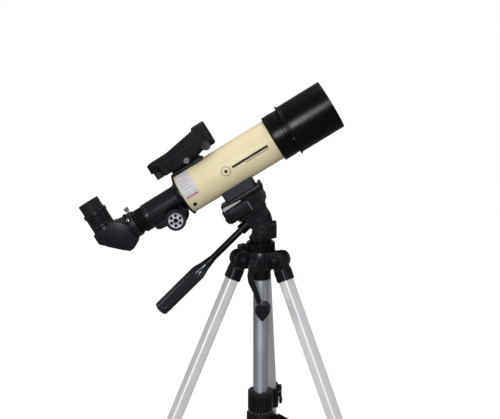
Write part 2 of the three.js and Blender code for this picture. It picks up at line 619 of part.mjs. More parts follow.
function braceHub() {
  const { top, pivot, flange, flangeHalf, radius, pin, lugFace, lugHalf, ribs } = HUB;
  const { hubPin, head, headLow, headTop } = STRUT;
  const bore = COLUMN.radius + GAP;
  const waist = pivot + flangeHalf + 4;
  const profile = [
    [bore, pivot - flangeHalf], [flange - 1, pivot - flangeHalf], [flange, pivot - flangeHalf + 1],
    [flange, pivot + flangeHalf - 1], [radius - 0.5, pivot + flangeHalf], [radius - 0.5, waist],
    [radius - 3, waist], [radius - 3, waist + 2],
  ];
  const pitch = (top - 6 - waist - 2) / ribs;
  for (let i = 0; i < ribs; i += 1) {
    const z = waist + 2 + i * pitch;
    profile.push([radius - 1.4, z], [radius, z + 1], [radius, z + pitch * 0.6]);
  }
  profile.push([radius - 1, top - 3], [radius - 3, top], [bore, top], [bore, pivot - flangeHalf]);
  const lugs = Object.values(LEG_ANGLES).map((angle) => (
    block(12, pin + 4.5, lugFace - 4, lugFace, pivot - lugHalf, pivot + lugHalf).rotateZ(angle)
  ));
  const pins = Object.values(LEG_ANGLES).flatMap((angle) => [
    alongY(disc(hubPin, lugFace - 2, headTop, 10)).translate(pin, 0, pivot).rotateZ(angle),
    alongY(disc(head - 1.6, headLow, headTop, 10)).translate(pin, 0, pivot).rotateZ(angle),
  ]);
  const columnBore = disc(bore, pivot - 12, top + 2, 22);
  return part('brace_hub', carve(fuse(turned(profile, 18), ...lugs, ...pins), columnBore), blackPlastic());
}

// ---------------------------------------------------------------- one leg, hanging down from its hinge pin
function legProfile({ width, depth, corner }, grow = 0) {
  return rounded(depth + 2 * grow, width + 2 * grow, corner, 3);
}

function legSocket(side) {
  const { width, depth, top, bottom } = SOCKET;
  const { lugHalf, lugRadius, pinRadius } = TRIPOD;
  const sleeve = slab(rounded(depth, width, 5, 3), bottom, top - 5, 1.2);
  const lug = alongY(disc(lugRadius, -lugHalf, lugHalf, 16));
  const neck = block(-lugRadius, lugRadius, -lugHalf, lugHalf, top - 7, 0);
  const pinHole = alongY(disc(pinRadius + GAP, -20, 20, 12));
  const seat = slab(legProfile(UPPER, GAP), bottom - 1, UPPER.top + GAP);
  return part(`leg_socket_${side}`, carve(fuse(sleeve, lug, neck), pinHole, seat), blackPlastic());
}

function legUpper(side) {
  const { wall, top, bottom, width, depth, groove } = UPPER;
  const outer = slab(legProfile(UPPER), bottom, top);
  const bore = slab(legProfile(UPPER, -wall), bottom - 1, top + 1);
  const lines = [-1, 1].flatMap((face) => [-1, 1].map((edge) => {
    const x = face * depth / 2;
    const y = edge * (width / 2 - 4);
    return block(x - groove, x + groove, y - 0.7, y + 0.7, bottom - 1, top + 1);
  }));
  return part(`leg_upper_${side}`, carve(solidFrom(outer), bore, ...lines), anodised());
}

function legLock(side) {
  const { width, depth, top, bottom, seat, corner } = LOCK;
  const { pivot, ear, width: lever, barrel } = LEVER;
  const body = slab(rounded(depth, width, corner, 3), bottom, top, 1.4);
  const ears = [-1, 1].map((end) => {
    const x = end * (lever / 2 - ear / 2 + ear);
    return block(x - ear / 2, x + ear / 2, -width / 2 - 2 * barrel + 1, -width / 2 + 2, pivot - 5, pivot + 5);
  });
  const leverPin = alongX(disc(LEVER.pin, -lever / 2 - 1, lever / 2 + 1, 8));
  leverPin.translate(0, -width / 2 - barrel, pivot);
  const strutPin = [
    alongY(disc(STRUT.head, width / 2 - 1, STRUT.near - GAP, 14)),
    alongY(disc(STRUT.legPin, width / 2 - 1, STRUT.headTop, 10)),
    alongY(disc(STRUT.head, STRUT.headLow, STRUT.headTop, 14)),
  ].map((piece) => piece.translate(0, 0, -STRUT.reach));
  const upperSeat = slab(legProfile(UPPER, GAP), seat - GAP, top + 1);
  const lowerWay = slab(legProfile(LOWER, GAP), bottom - 1, top + 1);
  const low = pivot - LEVER.length - 1;
  const leverRoom = block(-lever / 2, lever / 2, -width, -width / 2 + 0.8, low, pivot + 6);
  const shell = carve(fuse(body, ...ears, ...strutPin), upperSeat, lowerWay, leverRoom);
  return part(`leg_lock_${side}`, shell.add(fuse(leverPin)), blackPlastic());
}

function legLever(side) {
  const { pivot, length, barrel, thick, width } = LEVER;
  const face = -LOCK.width / 2;
  const cam = alongX(disc(barrel - 0.2, -width / 2 + GAP, width / 2 - GAP, 12));
  cam.translate(0, face - barrel, pivot);
  const plate = slab(rounded(width - 2 * GAP, length, 2.4, 3), 0, thick, 0.8);
  plate.rotateX(Math.PI / 2).translate(0, face - 2, pivot - length / 2);
  const tip = alongX(disc(1.6, -width / 2 + 2, width / 2 - 2, 8));
  tip.translate(0, face - thick - 1.6, pivot - length + 3);
  const pinHole = alongX(disc(LEVER.pin + GAP, -width, width, 10)).translate(0, face - barrel, pivot);
  return part(`leg_lever_${side}`, carve(fuse(cam, plate, tip), pinHole), blackPlastic());
}

function legLower(side) {
  const { wall, top, bottom } = LOWER;
  const outer = slab(legProfile(LOWER), bottom, top);
  const bore = slab(legProfile(LOWER, -wall), bottom - 1, top + 1);
  return part(`leg_lower_${side}`, carve(solidFrom(outer), bore), anodised());
}

function legFoot(side) {
  const { width, depth, top, corner, floor } = FOOT;
  const boot = slab(rounded(depth, width, corner, 3), -TRIPOD.legLength - 12, top, 1.6);
  const seat = slab(legProfile(LOWER, GAP), floor, top + 1);
  const ground = new THREE.Vector3(Math.sin(TRIPOD.spread), 0, Math.cos(TRIPOD.spread));
  const trimmed = carve(solidFrom(boot), seat).trimByPlane(ground.toArray(), -HINGE_HEIGHT);
  return part(`leg_foot_${side}`, trimmed, rubber());
}

function leg(side) {
  const pieces = [legSocket, legUpper, legLock, legLever, legLower, legFoot].map((make) => make(side));
  const hinge = group(`hinge_${side}`, pieces, [TRIPOD.hingeRadius, 0, HINGE_HEIGHT]);
  hinge.rotation.y = -TRIPOD.spread;
  const turn = group(`turn_${side}`, [hinge, strut(side)]);
  turn.rotation.z = LEG_ANGLES[side];
  return turn;
}

// A flat brace link pinned to a lug of the hub.
// Its slotted end rides on the pin in the flank of the leg lock.
function strut(side) {
  const { hingeRadius, spread } = TRIPOD;
  const { reach, near, far, rib, half, hubPin, slot, slotHalf } = STRUT;
  const legEnd = new THREE.Vector2(
    hingeRadius + reach * Math.sin(spread), HINGE_HEIGHT - reach * Math.cos(spread),
  );
  const hubEnd = new THREE.Vector2(HUB.pin, HINGE_HEIGHT + HUB.pivot);
  const run = legEnd.clone().sub(hubEnd);
  const length = run.length();
  const bar = sideSlab(rounded(length + 2 * half + 1, 2 * half, half - 0.6, 4), near, far);
  const spine = sideSlab(rounded(length - slot - 3 * half - 10, half, 2, 2), far - 0.5, far + rib);
  const slotWay = sideSlab(rounded(slot + 2 * slotHalf, 2 * slotHalf, slotHalf - 0.1, 4), near - 1, far + 1);
  const hubHole = alongY(disc(hubPin + GAP, near - 1, far + 1, 12));
  const shape = carve(
    fuse(bar.translate(length / 2 + 0.5, 0, 0), spine.translate((length - slot - half) / 2, 0, 0)),
    slotWay.translate(length - slot / 2, 0, 0),
    hubHole,
  );
  const mesh = part(`strut_${side}`, shape, blackPlastic());
  mesh.position.set(hubEnd.x, 0, hubEnd.y);
  mesh.rotation.y = -Math.atan2(run.y, run.x);
  return mesh;
}

// ---------------------------------------------------------------- assembly
function opticalTube() {
  const finder = [finderShoe, finderBody, finderWindow, finderDial, finderClampScrew, finderAdjuster];
  const pieces = [
    mainTube, objectiveCell, objectiveLens, dewShield, focuserHousing, drawtube, focusShaft,
    eyepieceHolder, diagonalBody, diagonalMirror, eyepieceBody, eyecup, eyepieceLens, eyepieceScrew,
    tubeFoot, ...finder,
  ].map((make) => make());
  pieces.push(focusKnob('focus_knob_near', -1));
  pieces.push(focusKnob('focus_knob_far', 1));
  pieces.push(holderScrew('holder_screw_top', 0, HOLDER.screwX, 3.8));
  pieces.push(holderScrew('holder_screw_side', HOLDER.sideTurn, HOLDER.screwX - 1.5, 2.8));
  return group('optical_tube', pieces, [OPTICS_X, 0, OPTICS_Z]);
}

function head() {
  const makers = [plate, platform, releaseLever, platformKnob, tiltBody, handleRod, handleGrip];
  const pieces = makers.map((make) => make());
  const tilting = group('tilting', [...pieces, opticalTube()], [HEAD.tiltX, 0, HINGE_HEIGHT + HEAD.tiltZ]);
  tilting.rotation.y = -TILT;
  return tilting;
}

function centre() {
  const crank = group('crank', [crankArm(), crankKnob()]);
  crank.position.set(CRANK.axisRadius, -CRANK.offset, CRANK.height);
  crank.position.applyAxisAngle(new THREE.Vector3(0, 0, 1), CRANK_SIDE);
  crank.rotation.set(Math.PI / 2, CRANK_SIDE + Math.PI / 2, CRANK.lean, 'XYZ');
  const lockKnob = columnLockKnob();
  lockKnob.position.z = LOCK_KNOB.height;
  lockKnob.rotation.z = LOCK_KNOB.angle;
  const pieces = [shoulder(), column(), panBody(), braceHub(), lockKnob, crank];
  return group('centre', pieces, [0, 0, HINGE_HEIGHT]);
}

function telescope() {
  const all = group('telescope', [centre(), head(), ...Object.keys(LEG_ANGLES).map(leg)]);
  all.updateMatrixWorld(true);
  const box = new THREE.Box3().setFromObject(all, true);
  const middle = box.getCenter(new THREE.Vector3());
  all.position.set(-middle.x, -middle.y, -box.min.z);
  return all;
}

export default telescope();
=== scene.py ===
import json
import math

import bmesh
import bpy
from mathutils import Matrix, Vector

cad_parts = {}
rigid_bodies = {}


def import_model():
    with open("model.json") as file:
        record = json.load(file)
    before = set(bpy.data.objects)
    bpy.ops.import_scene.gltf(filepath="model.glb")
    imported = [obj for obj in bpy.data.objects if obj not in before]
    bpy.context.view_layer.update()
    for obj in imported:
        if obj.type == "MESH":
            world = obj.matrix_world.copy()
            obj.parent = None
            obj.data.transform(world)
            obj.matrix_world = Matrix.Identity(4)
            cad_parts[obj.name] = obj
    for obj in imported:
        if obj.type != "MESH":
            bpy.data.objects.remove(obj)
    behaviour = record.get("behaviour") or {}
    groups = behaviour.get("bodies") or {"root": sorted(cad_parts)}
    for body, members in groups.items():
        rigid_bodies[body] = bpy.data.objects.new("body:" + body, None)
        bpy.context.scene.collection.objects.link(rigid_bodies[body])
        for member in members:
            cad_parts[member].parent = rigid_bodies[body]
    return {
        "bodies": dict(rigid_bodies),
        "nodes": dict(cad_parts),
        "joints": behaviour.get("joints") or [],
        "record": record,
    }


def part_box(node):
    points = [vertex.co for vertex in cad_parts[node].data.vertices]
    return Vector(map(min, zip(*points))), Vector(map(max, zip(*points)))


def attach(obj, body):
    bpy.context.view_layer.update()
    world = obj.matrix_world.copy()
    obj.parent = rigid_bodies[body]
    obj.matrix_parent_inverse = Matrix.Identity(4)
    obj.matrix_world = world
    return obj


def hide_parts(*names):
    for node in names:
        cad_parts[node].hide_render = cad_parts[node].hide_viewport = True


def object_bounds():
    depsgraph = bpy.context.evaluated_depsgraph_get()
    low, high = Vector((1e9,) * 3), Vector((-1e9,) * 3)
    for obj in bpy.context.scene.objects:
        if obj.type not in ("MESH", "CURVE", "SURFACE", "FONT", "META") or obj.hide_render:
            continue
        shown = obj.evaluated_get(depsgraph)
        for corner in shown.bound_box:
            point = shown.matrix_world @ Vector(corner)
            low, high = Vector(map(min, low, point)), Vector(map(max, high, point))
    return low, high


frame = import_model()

CAD_BOX = [list(corner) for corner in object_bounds()]
JOINTS = {joint["name"]: joint for joint in frame["joints"]}
BODY_OF = {node: body for body, nodes in frame["record"]["behaviour"]["bodies"].items() for node in nodes}
MM = 0.001
SIDES = ("left", "right", "rear")
NEAR = (0, -1, 0)
TUBE_RADIUS = 33.4
TUBE_ROOM = 33.7
EYE_X = -214
PINION = (-106, 0, -25.6)
MIRROR_LEAN = math.radians(46.2)
CRANK_LEAN = math.radians(13.4)
HANDLE_END = 200.0
CAMERA_PLACE = Vector((-0.017, -1.356, 0.303))
CAMERA_PITCH = math.radians(80.5)
CAMERA_LENS = 62.64
CAMERA_SENSOR = 36
FLOOR_LIFT = 0.96
FLOOR_REACH = 90
FLOOR_CORNERS = 64
AMBIENT = 0.22
LIT_POINT = (0.0, 0.0, 0.6)
LIGHTS = (
    ("key", (-0.35, -2.7, 1.35), (0.9, 0.9), 50),
    ("top", (0.2, 0.3, 2.7), (1.6, 1.0), 24),
    ("left", (-2.4, -0.8, 1.0), (0.5, 1.6), 11),
    ("right", (2.4, -0.5, 1.1), (0.5, 1.6), 7),
)


# ------------------------------------------------------------------ frames
def spot(joint):
    return Vector(JOINTS[joint]["pos_m"])


def way(joint):
    return Vector(JOINTS[joint]["axis"]).normalized()


def grid(origin, x, y, z):
    """Millimetres along three directions of the row frame."""
    matrix = Matrix.Identity(4)
    for column, axis in enumerate((x, y, z)):
        for row in range(3):
            matrix[row][column] = axis[row] * MM
    matrix.translation = origin
    return matrix


def aim(parent, origin=(0, 0, 0), z=(0, 0, 1), x=(1, 0, 0)):
    """A frame inside another one, with its own Z and, as near as it can be, its own X."""
    z = Vector(z).normalized()
    x = Vector(x)
    x = (x - z * x.dot(z)).normalized()
    local = Matrix((x, z.cross(x), z)).transposed().to_4x4()
    local.translation = Vector(origin)
    return parent @ local


WORLD_X, WORLD_Y, WORLD_Z = Vector((1, 0, 0)), Vector((0, 1, 0)), Vector((0, 0, 1))
FORWARD = -way("focus_slide")
UPWARD = way("eyepiece_pull")
TILTING = grid(spot("tilt"), FORWARD, WORLD_Y, UPWARD)
OPTICS = aim(TILTING, (1.3, 0, 110.2))
BARREL = aim(OPTICS, z=(1, 0, 0), x=(0, 0, 1))
PROFILE = aim(OPTICS, z=NEAR)
SECTION = aim(OPTICS, z=(1, 0, 0), x=(0, 1, 0))
SHAFT = aim(OPTICS, PINION, z=NEAR)
column_low, column_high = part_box("column")
HINGE_Z = spot("leg_spread_left").z
MIDDLE = (column_low + column_high) / 2
CENTRE = grid(Vector((MIDDLE.x, MIDDLE.y, HINGE_Z)), WORLD_X, WORLD_Y, WORLD_Z)
LEGS = {}
for side in SIDES:
    down = way(f"leg_extend_{side}")
    across = -way(f"leg_spread_{side}")
    LEGS[side] = grid(spot(f"leg_spread_{side}"), across.cross(down), across, down)
HANDLE_WAY = way("grip_twist")


# ------------------------------------------------------------------ meshes
def soften(points, radius, closed, steps):
    """Rounds the corners of an outline. A corner may bring its own radius as a third number."""
    made = []
    count = len(points)
    for i, point in enumerate(points):
        here = Vector(point[:2])
        reach = point[2] if len(point) > 2 else radius
        ends = not closed and i in (0, count - 1)
        before = Vector(points[i - 1][:2]) - here
        after = Vector(points[(i + 1) % count][:2]) - here
        if ends or reach <= 0 or before.length < 1e-6 or after.length < 1e-6:
            made.append(tuple(here))
            continue
        angle = before.angle(after)
        if angle > math.radians(172) or angle < math.radians(4):
            made.append(tuple(here))
            continue
        cut = min(reach / math.tan(angle / 2), 0.45 * before.length, 0.45 * after.length)
        start = here + before.normalized() * cut
        end = here + after.normalized() * cut
        for k in range(steps + 1):
            t = k / steps
            made.append(tuple((1 - t) ** 2 * start + 2 * t * (1 - t) * here + t * t * end))
    return made


def lathe(profile, segments, radius, steps=3, pick=None):
    """An outline of (radius, height) corners turned about Z. It is closed unless it starts on the axis."""
    filled = profile[0][0] == 0
    outline = soften(profile, radius, not filled, steps)
    verts, faces, slots, rings = [], [], [], []
    for r, h in outline:
        if r < 1e-6:
            rings.append([len(verts)] * segments)
            verts.append((0, 0, h))
            continue
        rings.append([len(verts) + k for k in range(segments)])
        for k in range(segments):
            turn = 2 * math.pi * k / segments
            verts.append((r * math.cos(turn), r * math.sin(turn), h))
    pairs = len(rings) - 1 if filled else len(rings)
    for i in range(pairs):
        low, high = rings[i], rings[(i + 1) % len(rings)]
        a, b = outline[i], outline[(i + 1) % len(outline)]
        index = pick((a[0] + b[0]) / 2, (a[1] + b[1]) / 2) if pick else 0
        for k in range(segments):
            n = (k + 1) % segments
            face = []
            for vertex in (low[k], low[n], high[n], high[k]):
                if vertex not in face:
                    face.append(vertex)
            if len(face) > 2:
                faces.append(face)
                slots.append(index)
    return verts, faces, slots


def rod(radius, low, high, segments, corner=0):
    """A plain cylinder along Z."""
    return lathe([(0, low), (radius, low), (radius, high), (0, high)], segments, corner)


def prism(outline, low, high, radius=0.0, steps=4):
    """An outline in X and Y, extruded along Z."""
    outline = soften(outline, radius, True, steps)
    count = len(outline)
    verts = [(x, y, low) for x, y in outline] + [(x, y, high) for x, y in outline]
    faces = [list(range(count))[::-1], list(range(count, 2 * count))]
    for i in range(count):
        n = (i + 1) % count
        faces.append([i, n, n + count, i + count])
    return verts, faces, [0] * len(faces)


def loft(reach, heights, segments):
    """A body along Z whose radius is reach(angle, height), closed at both ends."""
    verts, faces = [], []
    for h in heights:
        for k in range(segments):
            turn = 2 * math.pi * k / segments
            r = reach(turn, h)
            verts.append((r * math.cos(turn), r * math.sin(turn), h))
    for i in range(len(heights) - 1):
        for k in range(segments):
            n = (k + 1) % segments
            faces.append([i * segments + k, i * segments + n, (i + 1) * segments + n, (i + 1) * segments + k])
    faces.append(list(range(segments))[::-1])
    last = (len(heights) - 1) * segments
    faces.append([last + k for k in range(segments)])
    return verts, faces, [0] * len(faces)


def box_outline(x0, x1, y0, y1):
    return [(x1, y1), (x0, y1), (x0, y0), (x1, y0)]


def fluted(radius, depth, count, per):
    """An outline with that many round dips."""
    points = []
    for k in range(count * per):
        turn = 2 * math.pi * k / (count * per)
        dip = 0.5 - 0.5 * math.cos(turn * count)
        points.append(((radius - depth * dip) * math.cos(turn), (radius - depth * dip) * math.sin(turn)))
    return points


def solid(*parts):
    """One object from several (shape, frame) parts."""
    verts, faces, slots = [], [], []
    for (points, polygons, indices), matrix in parts:
        base = len(verts)
        verts += [matrix @ Vector(p) for p in points]
        faces += [[base + v for v in polygon] for polygon in polygons]
        slots += indices
    mesh = bpy.data.meshes.new("solid")
    mesh.from_pydata([tuple(v) for v in verts], [], faces)
    mesh.polygons.foreach_set("material_index", slots)
    mesh.update()
    made = bpy.data.objects.new("solid", mesh)
    bpy.context.scene.collection.objects.link(made)
    work = bmesh.new()
    work.from_mesh(mesh)
    bmesh.ops.recalc_face_normals(work, faces=work.faces)
    work.to_mesh(mesh)
    work.free()
    return made


def settle(made):
    """Applies the object's modifiers."""
    bpy.context.view_layer.update()
    graph = bpy.context.evaluated_depsgraph_get()
    mesh = bpy.data.meshes.new_from_object(made.evaluated_get(graph), depsgraph=graph)
    made.modifiers.clear()
    old = made.data
    made.data = mesh
    bpy.data.meshes.remove(old)
    return made


def combine(made, others, operation):
    """Joins to or cuts from an object each of the other objects, which go."""
    for other in others:
        step = made.modifiers.new("shape", "BOOLEAN")
        step.operation = operation
        step.solver = "EXACT"
        step.object = other
        settle(made)
        mesh = other.data
        bpy.data.objects.remove(other)
        bpy.data.meshes.remove(mesh)
    return made


def cut(made, *parts):
    return combine(made, [solid(part) for part in parts], "DIFFERENCE")


def join(made, *parts):
    return combine(made, [solid(part) for part in parts], "UNION")


def rounded(made, width, segments=3, degrees=32):
    """Rounds the edges, width in millimetres."""
    step = made.modifiers.new("edges", "BEVEL")
    step.width = width * MM
    step.segments = segments
    step.limit_method = "ANGLE"
    step.angle_limit = math.radians(degrees)
    step.use_clamp_overlap = True
    step.miter_outer = "MITER_ARC"
    return settle(made)


# ------------------------------------------------------------------ materials
class Look:
    """A node material in the making."""

    def __init__(self, name):
        self.material = bpy.data.materials.new(name)
        self.material.use_nodes = True
        self.tree = self.material.node_tree
        self.shader = self.tree.nodes["Principled BSDF"]
        self.place = self.node("ShaderNodeTexCoord").outputs["Object"]

    def node(self, kind, **values):
        """A new node, with its attributes and, capitalised, the values of its sockets."""
        made = self.tree.nodes.new(kind)
        for key, value in values.items():
            if key[0].isupper():
                made.inputs[key.replace("_", " ")].default_value = value
            else:
                setattr(made, key, value)
        return made

    def link(self, source, target):
        self.tree.links.new(source, target)

    def feed(self, socket, source):
        self.link(source, self.shader.inputs[socket])

    def stretched(self, rotation, scale):
        mapping = self.node("ShaderNodeMapping", vector_type="TEXTURE", Rotation=rotation, Scale=scale)
        self.link(self.place, mapping.inputs["Vector"])
        return mapping.outputs["Vector"]

    def noise(self, scale, detail, rough=0.55, vector=None):
        made = self.node("ShaderNodeTexNoise", Scale=scale, Detail=detail, Roughness=rough)
        self.link(vector or self.place, made.inputs["Vector"])
        return made.outputs["Fac"]

    def spread(self, source, low, high, start=0.3, end=0.7):
        made = self.node("ShaderNodeMapRange", From_Min=start, From_Max=end, To_Min=low, To_Max=high)
        self.link(source, made.inputs["Value"])
        return made.outputs["Result"]

    def colours(self, source, first, second):
        made = self.node("ShaderNodeMix", data_type="RGBA", A=(*first, 1), B=(*second, 1))
        self.link(source, made.inputs["Factor"])
        return made.outputs["Result"]

    def over(self, factor, base, top):
        made = self.node("ShaderNodeMix", data_type="RGBA", B=(*top, 1))
        self.link(factor, made.inputs["Factor"])
        self.link(base, made.inputs["A"])
        return made.outputs["Result"]

    def times(self, first, second):
        made = self.node("ShaderNodeMath", operation="MULTIPLY")
        self.link(first, made.inputs[0])
        if isinstance(second, float):
            made.inputs[1].default_value = second
        else:
            self.link(second, made.inputs[1])
        return made.outputs["Value"]

    def edge(self, radius):
        """1 where the surface turns sharply within that many millimetres, 0 on the flats."""
        soft = self.node("ShaderNodeBevel", samples=6, Radius=radius * MM)
        plain = self.node("ShaderNodeNewGeometry")
        dot = self.node("ShaderNodeVectorMath", operation="DOT_PRODUCT")
        self.link(soft.outputs["Normal"], dot.inputs[0])
        self.link(plain.outputs["Normal"], dot.inputs[1])
        return self.spread(dot.outputs["Value"], 1.0, 0.0, 0.86, 0.985)

    def bumps(self, layers, radius):
        """Bump layers of (height, depth in millimetres), over edges rounded by radius millimetres."""
        normal = self.node("ShaderNodeBevel", samples=6, Radius=radius * MM).outputs["Normal"]
        for height, depth in layers:
            made = self.node("ShaderNodeBump", Strength=1.0, Distance=depth * MM)
            self.link(height, made.inputs["Height"])
            self.link(normal, made.inputs["Normal"])
            normal = made.outputs["Normal"]
        self.feed("Normal", normal)

    def put(self, **values):
        for key, value in values.items():
            self.shader.inputs[key.replace("_", " ")].default_value = value


def plastic(name, color, rough, grain, depth, edge_wear_and_highlight, shine, tint=0.16):
    """Moulded plastic: a fine spark-eroded grain, patches of handling shine, and edges painted lighter,
    partly as rubbing wear and partly as a painted highlight.
    """
    edge = 0.45
    look = Look(name)
    broad = look.noise(28, 4)
    fine = look.noise(grain, 2, 0.6)
    dark = tuple(c * (1 - tint) for c in color)
    light = tuple(c * (1 + tint) for c in color)
    base = look.colours(look.spread(broad, 0, 1), dark, light)
    if edge_wear_and_highlight:
        # Edges painted lighter: partly rubbing wear, partly a painted edge highlight.
        rub_and_highlight_mask = look.times(look.edge(1.3), look.spread(look.noise(160, 3), 0.5, 1.0, 0.35, 0.65))
        wear_and_highlight_colour = tuple(min(1.0, c * 3 + 0.06) for c in color)
        base = look.over(look.times(rub_and_highlight_mask, float(edge_wear_and_highlight)), base, wear_and_highlight_colour)
    look.feed("Base Color", base)
    look.feed("Roughness", look.spread(look.noise(60, 5), rough[0], rough[1]))
    look.bumps([(fine, depth)], edge)
    look.put(Specular_IOR_Level=shine, Specular_Tint=(0.82, 0.89, 1.0, 1))
    return look.material


def paint(name, color, shade, rough, coat, coat_rough, peel, specks, shine):
    """Sprayed enamel: orange peel, faint clouding and dust specks under a clear coat."""
    look = Look(name)
    base = look.colours(look.spread(look.noise(16, 4), 0, 1), color, shade)
    dust = look.spread(look.noise(1500, 2, 0.5), 0.0, 1.0, 0.70, 0.78)
    base = look.over(look.times(dust, float(specks)), base, tuple(c * 0.72 for c in shade))
    look.feed("Base Color", base)
    look.feed("Roughness", look.spread(look.noise(90, 5), rough[0], rough[1]))
    look.bumps([(look.noise(380, 2), peel), (look.noise(2600, 1), 0.003)], 0.3)
    look.put(Coat_Weight=coat, Coat_Roughness=coat_rough, Specular_IOR_Level=shine)
    return look.material


def metal(name, color, rough, rotation=(0, 0, 0), stretch=(1, 1, 1), grain=2200, depth=0.004, streak=0.14,
          metallic=1.0):
    """Drawn or turned metal: grain lines along it and smudges in its shine."""
    look = Look(name)
    lines = look.noise(grain, 2, 0.5, look.stretched(rotation, stretch))
    clouds = look.noise(24, 4)
    dull = tuple(c * (1 - streak) for c in color)
    base = look.colours(look.spread(lines, 0, 1, 0.32, 0.68), dull, color)
    look.feed("Base Color", base)
    look.feed("Roughness", look.spread(clouds, rough[0], rough[1]))
    look.bumps([(lines, depth)], 0.25)
    look.put(Metallic=metallic)
    return look.material


def soft_rubber(name):
    """Black rubber with a bloom of dust."""
    look = Look(name)
    dark, light = (tuple(c * part for c in (0.007, 0.007, 0.0078)) for part in (0.75, 1.5))
    base = look.colours(look.spread(look.noise(40, 4), 0, 1), dark, light)
    dust = look.spread(look.noise(900, 3, 0.7), 0.0, 0.35, 0.58, 0.72)
    base = look.over(dust, base, (0.022, 0.0215, 0.021))
    look.feed("Base Color", base)
    look.feed("Roughness", look.spread(look.noise(120, 4), 0.58, 0.78))
    look.bumps([(look.noise(1300, 3), 0.03)], 0.5)
    look.put(Sheen_Weight=0.05, Sheen_Roughness=0.5, Specular_IOR_Level=0.2)
    return look.material


def glass(name, tint, film):
    """Clear glass with a coloured film and faint smears."""
    look = Look(name)
    pale = tuple(min(1.0, c * 1.03) for c in tint)
    base = look.colours(look.spread(look.noise(20, 2), 0, 1), tint, pale)
    look.feed("Base Color", base)
    look.feed("Roughness", look.spread(look.noise(70, 4), 0.01, 0.045))
    look.put(Transmission_Weight=1.0, IOR=1.5, Specular_Tint=(*film, 1))
    return look.material


def along(frame_matrix):
    """The turn that lines noise up with a frame's own axes."""
    return frame_matrix.to_3x3().normalized().to_euler("XYZ")


def finish(material):
    """Hands back the finish unchanged."""
    return material


def plastics(slot, *rows):
    """Finishes from rows of name, colour, roughness, grain, grain depth, edge wear and painted edge
    highlight, shine and tint.
    """
    return [finish(plastic(*row)) for row in rows]


CREAM = finish(paint("cream_enamel", (0.80, 0.70, 0.455), (0.765, 0.665, 0.42), (0.46, 0.56),
                                    coat=0.06, coat_rough=0.2, peel=0.02, specks=0.35, shine=0.42))
GLOSS = finish(paint("gloss_black", (0.0026, 0.0026, 0.0034), (0.002, 0.002, 0.0027), (0.24, 0.32), coat=0.0,
                     coat_rough=0.08, peel=0.01, specks=0.0, shine=0.17))
# In each row the sixth number sets how strongly edges are painted lighter, as wear and as painted highlight.
SATIN, BLACK, DIAGONAL, LEG_PLASTIC = plastics(
    "black_plastic",
    ("satin_black", (0.0032, 0.0036, 0.005), (0.24, 0.34), 1800, 0.006, 0.35, 0.5),
    ("moulded_black", (0.003, 0.003, 0.0034), (0.3, 0.42), 1800, 0.012, 0.45, 0.1),
    ("diagonal_plastic", (0.006, 0.006, 0.008), (0.26, 0.36), 1800, 0.006, 1.0, 0.26),
    ("leg_plastic", (0.0046, 0.005, 0.0062), (0.26, 0.36), 1800, 0.011, 0.9, 0.24),
)
HEAD, SADDLE, SHOULDER, GREY_AND_HIGHLIGHT, HIGHLIGHT_GREY = plastics(
    "grey_plastic",
    ("head_plastic", (0.0042, 0.0042, 0.0054), (0.26, 0.36), 1800, 0.009, 0.9, 0.2),
    ("saddle_plastic", (0.016, 0.015, 0.018), (0.36, 0.46), 1800, 0.012, 0.8, 0.3),
    ("shoulder_plastic", (0.0055, 0.006, 0.0078), (0.24, 0.34), 1800, 0.01, 1.0, 0.28),
    # Light grey: the real colour of the finder clamp screw, and painted highlights on the platform rib and
    # hub teeth.
    ("grey_and_highlight_plastic", (0.11, 0.11, 0.12), (0.34, 0.44), 1800, 0.01, 0.6, 0.4),
    # Light grey for the painted highlight strip on the plate's edge.
    ("painted_highlight_grey", (0.36, 0.36, 0.38), (0.3, 0.4), 1800, 0.004, 0.0, 0.5),
)
(MATT,) = plastics("black_paint", ("matt_black", (0.002, 0.002, 0.0022), (0.75, 0.9), 2400, 0.02, 0.0, 0.06))
(GRIP,) = plastics("soft_rubber",
                   ("grip_plastic", (0.005, 0.005, 0.0065), (0.2, 0.28), 1400, 0.004, 0.0, 0.6))
MARK, PAPER, BAND, INK = plastics(
    "cream_paint",
    ("mark_print", (0.012, 0.009, 0.007), (0.42, 0.5), 2400, 0.003, 0.0, 0.3),
    ("white_label", (0.60, 0.585, 0.60), (0.4, 0.5), 2400, 0.003, 0.0, 0.4, 0.02),
    ("label_band", (0.50, 0.13, 0.17), (0.42, 0.5), 2400, 0.003, 0.0, 0.22, 0.05),
    ("label_ink", (0.36, 0.36, 0.40), (0.42, 0.5), 2400, 0.003, 0.0, 0.22, 0.05),
)
RUBBER = finish(soft_rubber("grip_rubber"))
CHROME = finish(metal("bright_chrome", (0.72, 0.725, 0.74), (0.1, 0.2), grain=900, depth=0.002, streak=0.06))
STEEL = finish(metal("ground_steel", (0.30, 0.30, 0.32), (0.3, 0.42), grain=1500))
SILVER = finish(metal("silver_face", (0.40, 0.41, 0.46), (0.42, 0.52), grain=1200, depth=0.002, streak=0.05))
LENS = finish(glass("coated_glass", (0.92, 0.96, 0.97), (0.62, 0.9, 0.75)))
MIRROR = finish(metal("mirror_coat", (0.9, 0.9, 0.92), (0.02, 0.05), grain=600, depth=0.0005,
                                    streak=0.02))
DRAWN_GRAIN = {"stretch": (1, 1, 60), "grain": 3000, "depth": 0.002}
TUBE_ALLOY = finish(metal("column_alloy", (0.66, 0.70, 0.77), (0.40, 0.52), **DRAWN_GRAIN))
LEG_ALLOY = {
    side: finish(metal(f"leg_alloy_{side}", (0.93, 0.935, 0.955), (0.56, 0.66), along(LEGS[side]),
                                   streak=0.06, metallic=0.62, **DRAWN_GRAIN))
    for side in SIDES
}


def coat(mesh, materials):
    """Smooth faces and new materials."""
    mesh.polygons.foreach_set("use_smooth", [True] * len(mesh.polygons))
    mesh.materials.clear()
    for material in materials:
        mesh.materials.append(material)


